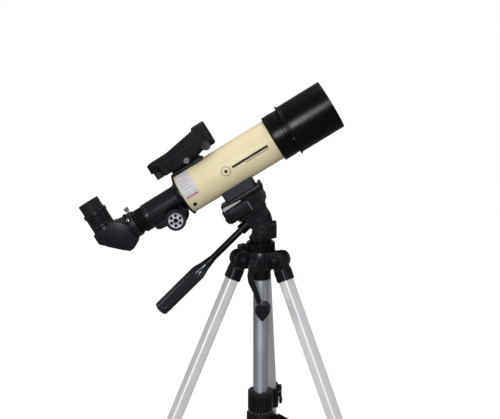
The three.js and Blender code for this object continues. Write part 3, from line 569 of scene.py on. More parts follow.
def piece(name, parts, materials, node=None, body=None, edges=0.0, segments=3, degrees=30):
    """A new object from its parts, on a CAD body, which stands for a CAD node if one is given."""
    made = solid(*parts) if isinstance(parts, list) else parts
    made.name = made.data.name = name
    if edges:
        rounded(made, edges, segments)
    coat(made.data, materials)
    made.data.set_sharp_from_angle(angle=math.radians(degrees))
    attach(made, body or BODY_OF[node])
    if node:
        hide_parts(node)


def span(node, joint, out):
    """How far a CAD node reaches both ways along a direction from a joint, in millimetres."""
    heights = [(v.co - spot(joint)).dot(out) / MM for v in frame["nodes"][node].data.vertices]
    return min(heights), max(heights)


def keep(node, *materials, degrees=35, pick=None):
    """A CAD node that stays, with welded corners, smooth round faces and a finish picked for each face."""
    made = frame["nodes"][node]
    mesh = made.data
    if "custom_normal" in mesh.attributes:
        mesh.attributes.remove(mesh.attributes["custom_normal"])
    coat(mesh, materials)
    mesh.polygons.foreach_set("material_index", [int(pick(p.center)) if pick else 0 for p in mesh.polygons])
    weld = made.modifiers.new("weld", "WELD")
    weld.merge_threshold = 0.000005
    split = made.modifiers.new("crisp", "EDGE_SPLIT")
    split.split_angle = math.radians(degrees)


# ------------------------------------------------------------------ screws and knobs
def thumb_screw(name, node, material, place, shank, tip, under, top, head):
    """Threaded shank, collar and knurled head along Z."""
    flutes = 22
    thread = [(0, tip), (shank - 0.4, tip)]
    height = tip + 0.5
    while height < under - 1.6:
        thread += [(shank, height, 0.05), (shank - 0.25, height + 0.35, 0.05)]
        height += 0.7
    thread += [(shank, height), (shank, under - 1.2), (head * 0.62, under - 1.2), (head * 0.62, under + 0.3),
               (0, under + 0.3)]
    rim = 0.5
    middle = (under + top) / 2

    def reach(turn, height):
        inset = max(0.0, under + rim - height, height - top + rim)
        ribbed = abs(height - middle) < (top - under) / 2 - rim * 0.9
        return head - inset * 0.7 - (0.22 * (0.5 + 0.5 * math.cos(turn * flutes)) if ribbed else 0.1)

    steps = [under, under + 0.25, under + rim, under + rim + 0.05, top - rim - 0.05, top - rim, top - 0.25,
             top]
    cap = [(0, top - 0.1), (head * 0.66, top - 0.1), (head * 0.6, top + 0.02), (0, top + 0.02)]
    shapes = (lathe(thread, 32, 0.1, 2), loft(reach, steps, flutes * 6), lathe(cap, 32, 0.1))
    piece(name, [(shape, place) for shape in shapes], [material], node)


def knurled(radius, heights, marks, taper=0.6, shoulder=None):
    """A round knob, ribbed from its third height to its sixth and narrower towards its ends."""
    low, high = heights[2], heights[5]
    end = shoulder or high

    def reach(turn, height):
        inset = max(0.0, low - height, height - end)
        ribs = 0.35 * max(0.0, math.cos(turn * marks)) * (1.0 if low < height < high else 0.2)
        return radius - taper * inset - ribs

    return loft(reach, heights, marks * 8)


def pan_screw(radius, height):
    """Domed head along Z with a cross recess, standing on the plane Z = 0."""
    dome = [(0, -0.4), (radius, -0.4), (radius, height * 0.35, 0.15), (radius * 0.72, height * 0.86, 0.6),
            (0, height)]
    made = solid((lathe(dome, 36, 0.3, 4), Matrix.Identity(4)))
    arm, half = radius * 0.62, radius * 0.13
    for outline in (box_outline(-arm, arm, -half, half), box_outline(-half, half, -arm, arm)):
        cut(made, (prism(outline, height * 0.35, height + 1), Matrix.Identity(4)))
    mesh = made.data
    shape = ([tuple(v.co) for v in mesh.vertices], [list(p.vertices) for p in mesh.polygons],
             [0] * len(mesh.polygons))
    bpy.data.objects.remove(made)
    bpy.data.meshes.remove(mesh)
    return shape


def screw_on(name, shape, material, frame, place, out, body="tilt", x=(1, 0, 0)):
    """A screw head at a place in a frame, facing out."""
    piece(name, [(shape, aim(frame, place, out, x))], [material], body=body)


# ------------------------------------------------------------------ optical tube
def tube():
    wall = [(31.4, -77), (TUBE_RADIUS, -77), (TUBE_RADIUS, 86.5), (31.4, 86.5)]
    piece("tube_shell", [(lathe(wall, 128, 0.5, pick=lambda r, h: int(r < 31.6)), BARREL)], [CREAM, MATT],
          "main_tube", degrees=38)
    head = pan_screw(3.4, 1.5)
    for side, name in ((-1, "near"), (1, "far")):
        lean = math.radians(-36.8)
        out = (0, side * math.cos(lean), math.sin(lean))
        place = (-68, TUBE_RADIUS * out[1], TUBE_RADIUS * out[2])
        screw_on(f"tube_screw_{name}", head, BLACK, OPTICS, place, out)
    label("tube_label", PAPER, -75.2, -51, -16, 66, 3.0, 0.10)
    label("label_band", BAND, -73.0, -53.2, -11.5, -7.5, 0.5, 0.16)
    for k in range(4):
        label(f"label_line_{k}", INK, -72.6, -56.0 - 3.0 * (k % 2), 12 + 9 * k, 14.2 + 9 * k, 0.4, 0.16)


def tube_mark():
    """A plain ring with a dot, and two stripes, on each side of the tube."""
    for name, side in (("near", 0), ("far", 180)):
        label(f"mark_disc_{name}", MARK, -7.6, 7.6, side - 15.0, side + 11.0, 7.6, 0.08)
        label(f"mark_field_{name}", CREAM, -6.8, 6.8, side - 13.7, side + 9.7, 6.8, 0.12)
        label(f"mark_dot_{name}", MARK, -2.6, 2.6, side - 6.5, side + 2.5, 2.6, 0.16)
        label(f"mark_stripe_{name}", MARK, 11.5, 75, side - 4.5, side + 1.8, 0.8, 0.08)
        label(f"mark_line_{name}", MARK, 34, 75, side - 9.4, side - 7.8, 0.3, 0.08)


def label(name, material, x0, x1, low, high, corner, lift):
    """A thin sheet that follows the tube, between two heights in degrees above the near side."""
    radius = TUBE_RADIUS + lift
    verts, faces = [], []
    rows, steps = 16, 40
    for i in range(rows + 1):
        x = x0 + (x1 - x0) * (0.5 - 0.5 * math.cos(math.pi * i / rows))
        edge = min(x - x0, x1 - x)
        inset = corner - math.sqrt(max(0.0, corner ** 2 - (corner - edge) ** 2)) if edge < corner else 0.0
        trim = math.degrees(inset / radius)
        for k in range(steps + 1):
            turn = math.radians(low + trim + (high - low - 2 * trim) * k / steps)
            for r in (radius, radius - lift - 0.2):
                verts.append((x, -r * math.cos(turn), r * math.sin(turn)))
    across = 2 * (steps + 1)
    for i in range(rows):
        for k in range(steps):
            a = i * across + 2 * k
            faces.append([a, a + 2, a + 2 + across, a + across])
            faces.append([a + 1, a + 1 + across, a + 3 + across, a + 3])
    for i in range(rows):
        for k in (0, 2 * steps):
            a = i * across + k
            faces.append([a, a + across, a + across + 1, a + 1])
    for k in range(steps):
        for i in (0, rows):
            a = i * across + 2 * k
            faces.append([a, a + 2, a + 3, a + 1])
    piece(name, [((verts, faces, [0] * len(faces)), OPTICS)], [material], body="tilt", degrees=38)


def objective():
    cell = [(31, 78), (31.1, 78), (31.1, 86.8), (37.4, 86.8, 0.6), (37.8, 89.5), (37.8, 90.4), (37.3, 90.8),
            (37.3, 91.8), (37.75, 92.2), (37.5, 107.4), (37.1, 107.8), (37.1, 108.8), (37.5, 109.2),
            (37.4, 112.5), (36.6, 112.5), (36.6, 122.5), (34.3, 122.5), (34.3, 100.2), (31, 100.2)]
    piece("objective_ring", [(lathe(cell, 128, 0.25), BARREL)], [GLOSS], "objective_cell", degrees=38)
    ring = solid((lathe([(31.2, 107.4), (34.1, 107.4), (34.1, 110.2), (32.2, 110.2)], 96, 0.25), BARREL))
    cut(ring, (prism(box_outline(-1.2, 1.2, -40, 40), 109.2, 112), BARREL))
    piece("lens_retainer", ring, [MATT], body="tilt")
    front = [(0, 101.5)] + [(34 * i / 10, 101.5 - (i / 10) ** 2, 0) for i in range(1, 11)]
    front += [(34 * i / 14, 106.5 + 4 * (1 - (i / 14) ** 2), 0) for i in range(14, -1, -1)]
    piece("front_lens", [(lathe(front, 96, 0), BARREL)], [LENS], "objective_lens", degrees=50)


def shield():
    outer = [(36.9, 112.9), (42.1, 112.9, 0.7), (42.1, 115.3, 0.7), (40.2, 116.1), (40.2, 118.2),
             (39.95, 118.6), (39.95, 119.3), (40.08, 119.7), (40.08, 187.4), (39.93, 187.7), (40.08, 188.0),
             (40.08, 190.2, 0.7), (39.6, 191), (38.4, 191, 0.4)]
    inner = []
    x = 187.0
    while x > 128:
        inner += [(38.45, x, 0.1), (38.95, x - 1.5, 0.1)]
        x -= 3.0
    inner += [(38.4, 125.5), (36.9, 123.5)]
    speck = pan_screw(1.3, 0.6)
    for k in range(3):
        turn = math.radians(-90 + 120 * k - 74)
        out = (0, math.cos(turn), math.sin(turn))
        screw_on(f"shield_screw_{k}", speck, STEEL, OPTICS, (114.1, 41.9 * out[1], 41.9 * out[2]), out)
    piece("dew_shield_shell",
          [(lathe(outer + inner, 128, 0.35, pick=lambda r, h: int(r < 39.3 and h > 124)), BARREL)],
          [GLOSS, MATT], "dew_shield", degrees=38)


def focuser():
    barrel = [(19.1, -147), (19.9, -147), (20.2, -146.4), (20.25, -141.5), (19.9, -141.1), (19.9, -140.1),
              (20.3, -139.7), (20.6, -88), (24, -84, 3), (35.6, -79.6, 0.8), (35.6, -77.3), (31.1, -77.3),
              (31.1, -68), (28.1, -68), (20.1, -84), (19.1, -90)]
    body = solid((lathe(barrel, 96, 0.4), BARREL))
    bottom = -30.0
    keel = solid((prism([(-143, -14), (-143, -24), (-138, -27.5), (-114, bottom), (-98, bottom), (-90, -26),
                         (-84, -14)], -11, 11, 1.6), PROFILE))
    rounded(keel, 1.2)
    join(keel, (rod(8.6, -17, 17, 64, 0.9), SHAFT))
    cut(keel, (rod(19.3, -150, -60, 96), BARREL),
        (prism(box_outline(-160, -60, -21.4, -10), -3.7, 3.7), PROFILE),
        (rod(2.9, -20, 20, 32), SHAFT))
    piece("focuser_keel", keel, [SATIN], body="tilt")
    piece("focuser_barrel", body, [SATIN], "focuser_housing", degrees=38)
    screw = pan_screw(1.7, 0.7)
    for k in range(3):
        turn = math.radians(90 + 120 * k)
        place = (-80.6, 30.6 * math.cos(turn), 30.6 * math.sin(turn))
        screw_on(f"flange_screw_{k}", screw, BLACK, OPTICS, place, (-1, 0, 0), x=(0, 1, 0))
    for x in (-134, -92.5):
        place = (x, 0, -27.6 if x < -100 else -27.2)
        screw_on(f"keel_screw_{int(-x)}", screw, STEEL, OPTICS, place, (0, 0, -1))


def draw():
    wall = [(17, -165), (18.8, -165), (18.8, -66), (17, -66)]
    piece("draw_shell", [(lathe(wall, 96, 0.3, pick=lambda r, h: int(r < 17.2)), BARREL)], [GLOSS, MATT],
          "drawtube", degrees=38)
    teeth = [(-159, -18.2), (-159, -20.2)]
    x = -158.0
    while x < -71:
        teeth += [(x, -20.2), (x + 0.45, -21.1), (x + 0.95, -21.1), (x + 1.4, -20.2)]
        x += 1.9
    teeth += [(-69, -20.2), (-69, -18.2)]
    piece("focus_rack", [(prism(teeth, -3, 3), PROFILE)], [BLACK], body="drawtube", degrees=20)


def focus_axle():
    axle = [(0, -33), (2.5, -33), (2.5, -6), (3, -6), (3, 6), (2.5, 6), (2.5, 33), (0, 33)]
    piece("focus_axle", [(lathe(axle, 40, 0.4), SHAFT), (prism(fluted(4, 1.2, 12, 6), -4.5, 4.5), SHAFT)],
          [STEEL], "focus_shaft", degrees=38)
    for name, way_out in (("near", -1), ("far", 1)):
        outward_frame = aim(OPTICS, PINION, z=(0, way_out, 0))
        rim = 1.1

        def reach(turn, height):
            inset = max(0.0, 23.5 + rim - height, height - 36.0 + rim)
            dip = max(0.0, math.cos(turn * 30)) ** 1.5 * 0.85
            side_dip = dip if 24.3 < height < 35.2 else 0.25 * dip
            return 16.2 - 0.55 * inset - 0.4 * inset ** 2 - side_dip

        heights = [23.5, 23.8, 24.2, 24.6, 25.2, 34.3, 34.9, 35.3, 35.7, 36.0]
        grip = solid((loft(reach, heights, 240), outward_frame))
        cut(grip, (lathe([(0, 34.2), (12.0, 34.2), (12.4, 38), (0, 38)], 96, 0), outward_frame),
            (rod(3.2, 22, 38, 32), outward_frame))
        piece(f"knob_grip_{name}", grip, [RUBBER], f"focus_knob_{name}")
        dish = [(3.6, 34.1), (11.9, 34.1), (11.9, 35.5, 0.3), (11.3, 35.5, 0.3), (10.9, 35.1), (4.8, 35.1),
                (4.6, 35.4, 0.2), (3.6, 35.4, 0.2)]
        face = solid((lathe(dish, 96, 0.2), outward_frame))
        for k in range(6):
            turn = 2 * math.pi * k / 6
            x, y = 7.9 * math.cos(turn), 7.9 * math.sin(turn)
            cut(face, (rod(2.5, 33, 37, 28), aim(outward_frame, (x, y, 0))))
        piece(f"knob_face_{name}", face, [SILVER], body="focus", degrees=35)
        cap = [(0, 33.6), (3.5, 33.6), (3.5, 35.4, 0.4), (2.2, 35.9, 0.4), (0, 36)]
        piece(f"knob_cap_{name}", [(lathe(cap, 40, 0.3), outward_frame)], [BLACK], body="focus", degrees=38)
        hub = [(2.9, 17.9), (8.4, 17.9, 0.6), (9, 19), (9, 21.6), (8.2, 22.1), (8.2, 22.8), (9, 23.3),
               (9, 24.2), (2.9, 24.2)]
        piece(f"knob_hub_{name}", [(lathe(hub, 64, 0.25), outward_frame)], [SILVER if way_out > 0 else BLACK],
              body="focus", degrees=38)


def holder():
    ring = [(15.9, -175.2), (20.2, -175.2), (21.2, -174.2), (21.2, -172.6), (20.75, -172.2), (20.75, -171.4),
            (21.2, -171.0), (21.2, -167.2), (20.75, -166.9), (20.75, -166.3), (21.1, -166), (21.1, -165.3),
            (16.7, -165.3), (16.7, -154.3), (15.9, -154.3)]
    body = solid((lathe(ring, 96, 0.25), BARREL))
    for name in ("top", "side"):
        screw = f"holder_screw_{name}"
        out = way(f"{screw}_turn")
        on_axis = spot(f"{screw}_turn") - out * (spot(f"{screw}_turn") - OPTICS.translation).dot(out)
        place = grid(on_axis, FORWARD, out.cross(FORWARD), out)
        cut(body, (rod(2.3, 10, 30, 24), place))
        thumb_screw(f"thumb_screw_{name}", screw, CHROME, place, 2, 16.2, 23.6, 30.2,
                    3.8 if name == "top" else 2.8)
    piece("holder_ring", body, [DIAGONAL], "eyepiece_holder")


def diagonal():
    axle = aim(OPTICS, (EYE_X, 0, 0))
    screw_place = aim(OPTICS, (EYE_X, 0, 15), z=(0, 1, 0))
    outline = [(-175.5, 19), (-175.5, -19), (-181, -26.5, 7), (-188.5, -31, 7), (-196.5, -31.5), (-232.4, 3),
               (-232.4, 20), (-192, 20)]
    body = solid((prism(outline, -18.6, 18.6, 3.0, 5), PROFILE))
    rounded(body, 2.6, 5)
    cheek = aim(OPTICS, (-200, 0, -2), z=NEAR)
    join(body, (lathe([(0, -18.2), (24, -18.2, 1.6), (24, 18.2, 1.6), (0, 18.2)], 96, 1.6), cheek),
         (lathe([(0, 0), (18.6, 0), (18.6, 23.2), (17.9, 24), (0, 24)], 96, 0.6), axle),
         (lathe([(0, -179.5), (21.6, -179.5), (22.4, -178.7), (22.4, -176.2), (21.6, -175.5), (0, -175.5)],
                96, 0.4), BARREL), (rod(15.6, -178, -152, 96, 0.4), BARREL))
    back = (math.cos(MIRROR_LEAN), 0, math.sin(MIRROR_LEAN))
    behind = aim(OPTICS, (-159 * back[0], 0, -159 * back[2]), z=back, x=(0, 1, 0))
    cut(body,
        (rod(14, -214, -150, 64), BARREL),
        (rod(15.9, 2, 26, 64), axle),
        (prism([(-228.5, 8), (-228.5, 3.2), (-196, -25.5), (-190, -14), (-190, 8)], -14.5, 14.5), PROFILE),
        (rod(2.1, 10, 30, 24), screw_place),
        (prism(box_outline(-200, 200, -200, 200), -60, 0), behind))
    piece("diagonal_housing", body, [DIAGONAL], "diagonal_body", degrees=28)
    for side, name in ((-1, "near"), (1, "far")):
        panel = solid((rod(22.6, 17.6, 19.9, 96), aim(OPTICS, (-200, 0, -2), z=(0, side, 0))))
        cut(panel, (prism(box_outline(-200, 200, -200, 200), -60, 2.6), behind))
        rounded(panel, 0.55, 3)
        piece(f"diagonal_panel_{name}", panel, [DIAGONAL], body="diagonal")
    keep("diagonal_mirror", MIRROR)
    thumb_screw("thumb_screw_eyepiece", "eyepiece_screw", CHROME, screw_place, 1.8, 16.2, 20.6, 26.6, 3.6)


def eyepiece():
    axle = aim(OPTICS, (EYE_X, 0, 0))
    barrel = [(13.6, 9), (15.2, 9), (15.6, 9.5), (15.6, 24.3), (17.9, 24.3, 0.3), (18.4, 24.9), (18.4, 27.2),
              (18.1, 27.5), (18.1, 28.1), (18.4, 28.4), (18.4, 44.2), (18.9, 44.4), (19.7, 45.2),
              (19.7, 50.2), (19.0, 50.9), (13.6, 50.9)]
    piece("eyepiece_barrel", [(lathe(barrel, 96, 0.3, pick=lambda r, h: int(h < 24.0 and r > 15)), axle)],
          [DIAGONAL, CHROME], "eyepiece_body", degrees=38)
    cup = [(8.6, 51.2), (16.9, 51.2), (17.5, 52.4, 0.5), (17.2, 53.4, 0.5), (17.0, 60, 2), (17.3, 67.6, 1.2),
           (16.8, 69, 0.7), (15.3, 68.6, 0.5), (9.4, 58.2, 2), (8.6, 57.2)]
    piece("eyecup_rubber", [(lathe(cup, 96, 0.4, 5), axle)], [RUBBER], "eyecup", degrees=38)
    lens = [(0, 51.9)] + [(8.2, 51.9, 0), (8.2, 54.5, 0)]
    lens += [(8.2 * i / 10, 55.9 - 1.4 * (i / 10) ** 2, 0) for i in range(9, -1, -1)]
    piece("eye_lens", [(lathe(lens, 64, 0), axle)], [LENS], "eyepiece_lens", degrees=50)


def tube_shoe():
    body = solid((prism([(-27, 17), (-27, -17), (27, -17), (27, 17)], -45.8, -24, 3), OPTICS))
    rounded(body, 0.8)
    cut(body, (rod(TUBE_ROOM, -60, 60, 128), BARREL),
        (rod(3.5, -47, -37.8, 32), OPTICS))
    cut(body, (prism(box_outline(-22, 22, -43.6, -43.0), 16.2, 18), aim(OPTICS, z=NEAR)))
    piece("tube_saddle", body, [SADDLE], "tube_foot")


# ------------------------------------------------------------------ finder
def finder():
    shoe = solid((prism([(-22, 12), (-76, 12), (-76, -12), (-22, -12)], 28, 37, 2), OPTICS))
    rounded(shoe, 0.6, 2)
    rail = solid((prism([(-8, 36), (-6.6, 36), (-6.6, 36.8), (-8, 38.4), (-8, 39.7), (8, 39.7), (8, 38.4),
                         (6.6, 36.8), (6.6, 36), (8, 36), (8, 35.8), (-8, 35.8)], -75, -25), SECTION))
    cut(shoe, (rod(TUBE_ROOM, -90, 0, 128), BARREL))
    piece("finder_base", shoe, [BLACK], "finder_shoe")
    piece("finder_rail", rail, [BLACK], body="tilt")
    outline = [(-102.5, 53, 1), (-88.6, 53, 0.8), (-88.6, 42.5, 1.5), (-84, 40, 1), (-28, 40, 3),
               (-16, 43.4, 3), (7, 43.4, 1.5), (7, 80.6, 0.8), (5, 82, 0.8), (-13, 82, 0.8), (-15, 78, 0.8),
               (-69, 69, 4), (-100.5, 68.5, 1.2), (-102.5, 66.5, 1)]
    body = solid((prism(outline, -16, 16, 1.0, 4), PROFILE))
    rounded(body, 1.9, 4)
    cut(body,
        (prism(box_outline(-16, 9, 52, 78.2), -12.5, 12.5, 1.5), PROFILE),
        (prism(box_outline(-104.5, 0, 56.6, 65.6), -9, 9, 1.2), PROFILE),
        (prism(box_outline(-82, -23, 38, 40.4), -8.4, 8.4), PROFILE),
        (rod(3.4, 8, 20, 32), aim(OPTICS, (-44, 0, 45.7), z=NEAR)))
    waist = [(-72, 58.6), (-20, 62.6), (-20, 74.6), (-72, 66.6)]
    slit = [(-86, 57.4), (-44, 60.6), (-44, 61.5), (-86, 58.3)]
    lower = [(-84, 43.5), (-50, 43.5), (-50, 55.5), (-84, 53.5)]
    hood = [(-12.5, 55), (3.5, 55), (3.5, 78.5), (-9.5, 78.5)]
    for side in (-1, 1):
        away = aim(OPTICS, z=(0, side, 0))
        flip = 1 if side < 0 else -1
        for shape, depth, radius in ((waist, 14.9, 2.0), (slit, 14.4, 0.2), (lower, 15.3, 1.5),
                                     (hood, 15.4, 1.0)):
            drawn = [(x, flip * z) for x, z in shape]
            cut(body, (prism(drawn, depth, 18, radius), away))
    for k in range(7):
        x = -96 + 3.4 * k
        cut(body, (prism(box_outline(x, x + 1.1, 67.4, 70), -8, 8), PROFILE))
    piece("finder_case", body, [BLACK], "finder_body", degrees=28)
    pane = [(-12.2, 53), (12.2, 53), (12.2, 77), (-12.2, 77)]
    piece("finder_glass", [(prism(pane, -1, 1, 1.5), SECTION)], [LENS],
          "finder_window", edges=0.25, segments=2, degrees=38)
    front = aim(OPTICS, (-6.6, 0, 47.3), z=NEAR)
    dial = solid((knurled(7.0, [16.3, 16.6, 16.9, 17.0, 20.8, 20.9, 21.2, 21.5], 26, 0.5), front))
    cut(dial, (lathe([(0, 20.9), (5.3, 20.9), (5.5, 22), (0, 22)], 48, 0), front),
        (prism(box_outline(-4.6, 4.6, -0.5, 0.5), 20.4, 22), front))
    piece("finder_switch", dial, [SATIN], "finder_dial")
    screw = pan_screw(1.5, 0.5)
    for name, x, z in (("a", -22, 57.5), ("b", -80, 47), ("c", -54, 47)):
        for side in (-1, 1):
            screw_on(f"finder_screw_{name}_{'near' if side < 0 else 'far'}", screw, LEG_PLASTIC, OPTICS,
                     (x, side * 15.2, z), (0, side, 0))
    clamp = aim(OPTICS, (-44, 0, 43.6), z=NEAR)
    thumb_screw("finder_clamp", "finder_clamp_screw", GREY_AND_HIGHLIGHT, clamp, 3, 9, 17.5, 24, 4.6)
    adjust = aim(OPTICS, (-95.6, 0, 0))
    levels = [40, 40.35, 40.7, 40.8, 49.9, 50.0, 52.2, 52.7]
    knob = solid((knurled(6.0, levels, 24, shoulder=52.2), adjust))
    cut(knob, (prism(box_outline(-4.4, 4.4, -0.55, 0.55), 39, 40.7), adjust))
    piece("finder_adjust_knob", knob, [SATIN], "finder_adjuster")


# ------------------------------------------------------------------ head
def head():
    body = solid((prism([(-37, 20), (-37, -20), (36, -20), (36, 20)], 55.3, 64.1, 3), TILTING))
    rounded(body, 1.0)
    join(body, (prism(box_outline(32, 36, -14, 14), 63.1, 67.1, 0.8), TILTING),
         (rod(3.1, 63.1, 71.1, 32, 0.4), aim(TILTING, (1.3, 0, 0))))
    piece("camera_plate", body, [HEAD], "quick_plate")
    for node in ("platform", "tilt_body", "pan_body"):
        keep(node, HEAD)
    keep("release_lever", LEG_PLASTIC)
    screw = pan_screw(2.0, 0.8)
    for name, x, z in (("a", 27, 39.5), ("b", 14, 36.5)):
        screw_on(f"platform_screw_{name}", screw, LEG_PLASTIC, TILTING, (x, -21, z), (0, -1, 0))
    near = aim(TILTING, z=NEAR)
    cover = solid((prism([(-38, 34), (4, 34), (4, 53), (-38, 53)], 20, 24.4, 2.4), near))
    rounded(cover, 1.3, 4)
    piece("platform_cover", cover, [HEAD], body="tilt")
    # A light-grey strip along the plate's near edge: a painted highlight standing for the reflection on the
    # plate's rounded edge.
    bar = solid((prism([(-37, 55.0, 1.6), (-4, 56.6, 0.4), (-4, 58.2, 0.6), (-34, 60.8, 1.6)], 19, 22.6),
                 near))
    rounded(bar, 0.9, 4)
    piece("plate_highlight_strip", bar, [HIGHLIGHT_GREY], body="tilt")
    # A light-grey strip at the cover's edge: a painted highlight.
    rib = solid((prism([(3.2, 35.5, 0.6), (4.9, 35.5, 0.6), (4.9, 50.5, 0.6), (3.2, 51.5, 0.6)], 22, 24.6),
                 near))
    rounded(rib, 0.4, 3)
    piece("platform_highlight_rib", rib, [GREY_AND_HIGHLIGHT], body="tilt")
    ridges = [(prism([(23, 55 - 3.2 * k), (33.6, 55 - 3.2 * k), (33.6, 53.2 - 3.2 * k), (23, 53.2 - 3.2 * k)],
                     20.5, 22.4, 0.4), near) for k in range(5)]
    piece("platform_ridges", ridges, [LEG_PLASTIC], body="tilt", edges=0.25, segments=2, degrees=38)
    front = aim(TILTING, (17, 0, 20.8), z=NEAR)
    knob = solid((knurled(5.6, [10.3, 10.6, 10.9, 11.0, 15.6, 15.7, 16.0, 16.3], 20), front),
                 (rod(3, 3, 11, 32, 0.3), front))
    piece("head_lock_knob", knob, [LEG_PLASTIC], "platform_knob")


def handle():
    pull = aim(grid(spot("grip_twist"), WORLD_X, WORLD_Y, WORLD_Z), z=HANDLE_WAY, x=(0, 1, 0))
    end = HANDLE_END
    shift = end - span("handle_grip", "grip_twist", HANDLE_WAY)[1]
    bar = [(0, -2.6), (5.3, -2.6), (5.3, 80, 3), (6.2, 84, 1), (7.2, 91.7, 0.4), (4.7, 91.7), (4.7, 150),
           (0, 150)]
    bar = [(p[0], p[1] - shift, *p[2:]) for p in bar]
    piece("handle_bar", [(lathe(bar, 64, 0.5, 4), pull)], [GLOSS], "handle_rod", degrees=38)
    grooves = 6

    def reach(turn, height):
        h = height + shift
        if h < 116:
            t = (h - 92) / 24
            base = 7.6 + 4.4 * t * t * (3 - 2 * t)
        elif h > end - 8.1:
            t = (h - end + 8.1) / 8.1
            base = 11.9 - 0.3 * t - 2.34 * (max(0.0, t - 0.72) / 0.28) ** 1.5
        elif h > end - 9.4:
            base = 10.9
        else:
            base = 12.0
        window = min(1.0, max(0.0, (h - 102.0) / 14.0)) * min(1.0, max(0.0, end - 9.6 - h))
        groove = max(0.0, math.cos(turn * grooves)) ** 2
        return base - 1.5 * window * groove

    heights = [92 + 1.2 * k for k in range(20)] + [117 + 6 * k for k in range(12)]
    heights += [end - back for back in (10.6, 9.6, 9.4, 9.35, 8.15, 8.05, 7, 5, 3, 2.2, 1.6, 1, 0.5, 0.2, 0)]
    grip = solid((loft(reach, [h - shift for h in heights], 240), pull))
    cut(grip, (rod(5.0, 91 - shift, 152 - shift, 48), pull))
    piece("handle_sleeve", grip, [GRIP], "handle_grip", degrees=42)


# ------------------------------------------------------------------ tripod
def tripod():
    keep("shoulder", SHOULDER, GLOSS, pick=lambda p: p.z > HINGE_Z + 0.0105)
    keep("column", TUBE_ALLOY, GLOSS, pick=lambda p: p.z > HINGE_Z + 0.022)
    keep("column_lock_knob", LEG_PLASTIC)
    crank()
    hub()
    bolt = pan_screw(4.6, 2.0)
    for side in SIDES:
        keep(f"leg_socket_{side}", LEG_PLASTIC)
        leg_tube(side, "upper", 16, 21.6, 3.2, 1.3)
        leg_tube(side, "lower", 12.4, 18, 2.6, 1.2)
        keep(f"leg_lock_{side}", LEG_PLASTIC)
        keep(f"leg_lever_{side}", LEG_PLASTIC)
        keep(f"leg_foot_{side}", RUBBER)
        keep(f"strut_{side}", BLACK)
        for end in (-1, 1):
            screw_on(f"hinge_bolt_{side}_{'a' if end < 0 else 'b'}", bolt, LEG_PLASTIC, LEGS[side],
                     (0, end * 12.9, 0), (0, end, 0), "shoulder")


def leg_tube(side, which, depth, width, corner, wall):
    """A drawn tube with broad round corners, as long as its CAD node."""
    node = f"leg_{which}_{side}"
    to_leg = LEGS[side].inverted()
    heights = [(to_leg @ v.co).z for v in frame["nodes"][node].data.vertices]
    low, high = min(heights), max(heights)
    x, y = depth / 2, width / 2
    shell = solid((prism(box_outline(-x, x, -y, y), low, high, corner, 10), LEGS[side]))
    x, y = x - wall, y - wall
    cut(shell, (prism(box_outline(-x, x, -y, y), low - 1, high + 1, corner - wall, 8), LEGS[side]))
    piece(f"{node}_tube", shell, [LEG_ALLOY[side]], node, degrees=24)


def crank():
    """A curved arm, narrow in the middle, and a faceted knob that comes to a blunt point."""
    pin_way = way("crank_grip_spin")
    out = pin_way if pin_way.y < 0 else -pin_way
    drop = spot("crank_grip_spin") - spot("crank_turn")
    up = -(drop - out * drop.dot(out))
    length = up.length / MM
    arm_low, arm_high = span("crank_arm", "crank_turn", out)
    place = grid(spot("crank_turn"), up.normalized().cross(out), up.normalized(), out)
    low, high = span("crank_knob", "crank_turn", out)
    thickness = 4.5
    base = low - 0.3 - thickness
    middle = [(0, 6), (-2.5, 0), (-7.6, -10), (-9.0, -19), (-7.6, -29), (-5.4, -39), (-5.2, -49), (-4.2, -57),
              (0, -length - 2)]
    half = [4.6, 6.0, 5.4, 4.9, 4.4, 4.1, 4.0, 4.3, 4.4]
    left, right = [], []
    for i, (x, y) in enumerate(middle):
        before, after = Vector(middle[max(0, i - 1)]), Vector(middle[min(len(middle) - 1, i + 1)])
        run = (after - before).normalized()
        left.append((x - run.y * half[i], y + run.x * half[i], 4))
        right.append((x + run.y * half[i], y - run.x * half[i], 4))
    arm = solid((prism(left + right[::-1], base, base + thickness, 4, 5), place))
    rounded(arm, 1.5, 4)
    join(arm, (lathe([(0, base - 1), (9, base - 1, 0.6), (9, base + 5, 1.4), (6.6, base + 6.4, 0.8),
                      (0, base + 6.4)], 64, 0.4), place),
         (lathe([(0, arm_low + 0.1), (3, arm_low + 0.1), (3, base), (0, base)], 40, 0.3), place),
         (lathe([(0, base + 3), (2.6, base + 3), (2.6, arm_high - 0.05), (0, arm_high - 0.05)], 32, 0.3),
          aim(place, (0, -length, 0))))
    piece("crank_lever", arm, [LEG_PLASTIC], "crank_arm")
    grip = aim(place, (0, -length, 0), x=(math.cos(CRANK_LEAN), -math.sin(CRANK_LEAN), 0))
    outline = [(-6.5, 14.0), (6.5, 14.0), (11.2, 6.5), (10.8, -1.5), (1.8, -13.2), (-1.8, -13.2),
               (-10.8, -1.5), (-11.2, 6.5)]
    knob = solid((prism(outline, low, high, 1.6, 3), grip))
    rounded(knob, 3.2, 2, 24)
    cut(knob,
        (lathe([(0, low - 1), (2.9, low - 1), (2.9, arm_high + 0.3), (0, arm_high + 0.3)], 32, 0), grip))
    piece("crank_grip", knob, [LEG_PLASTIC], "crank_knob", degrees=20)


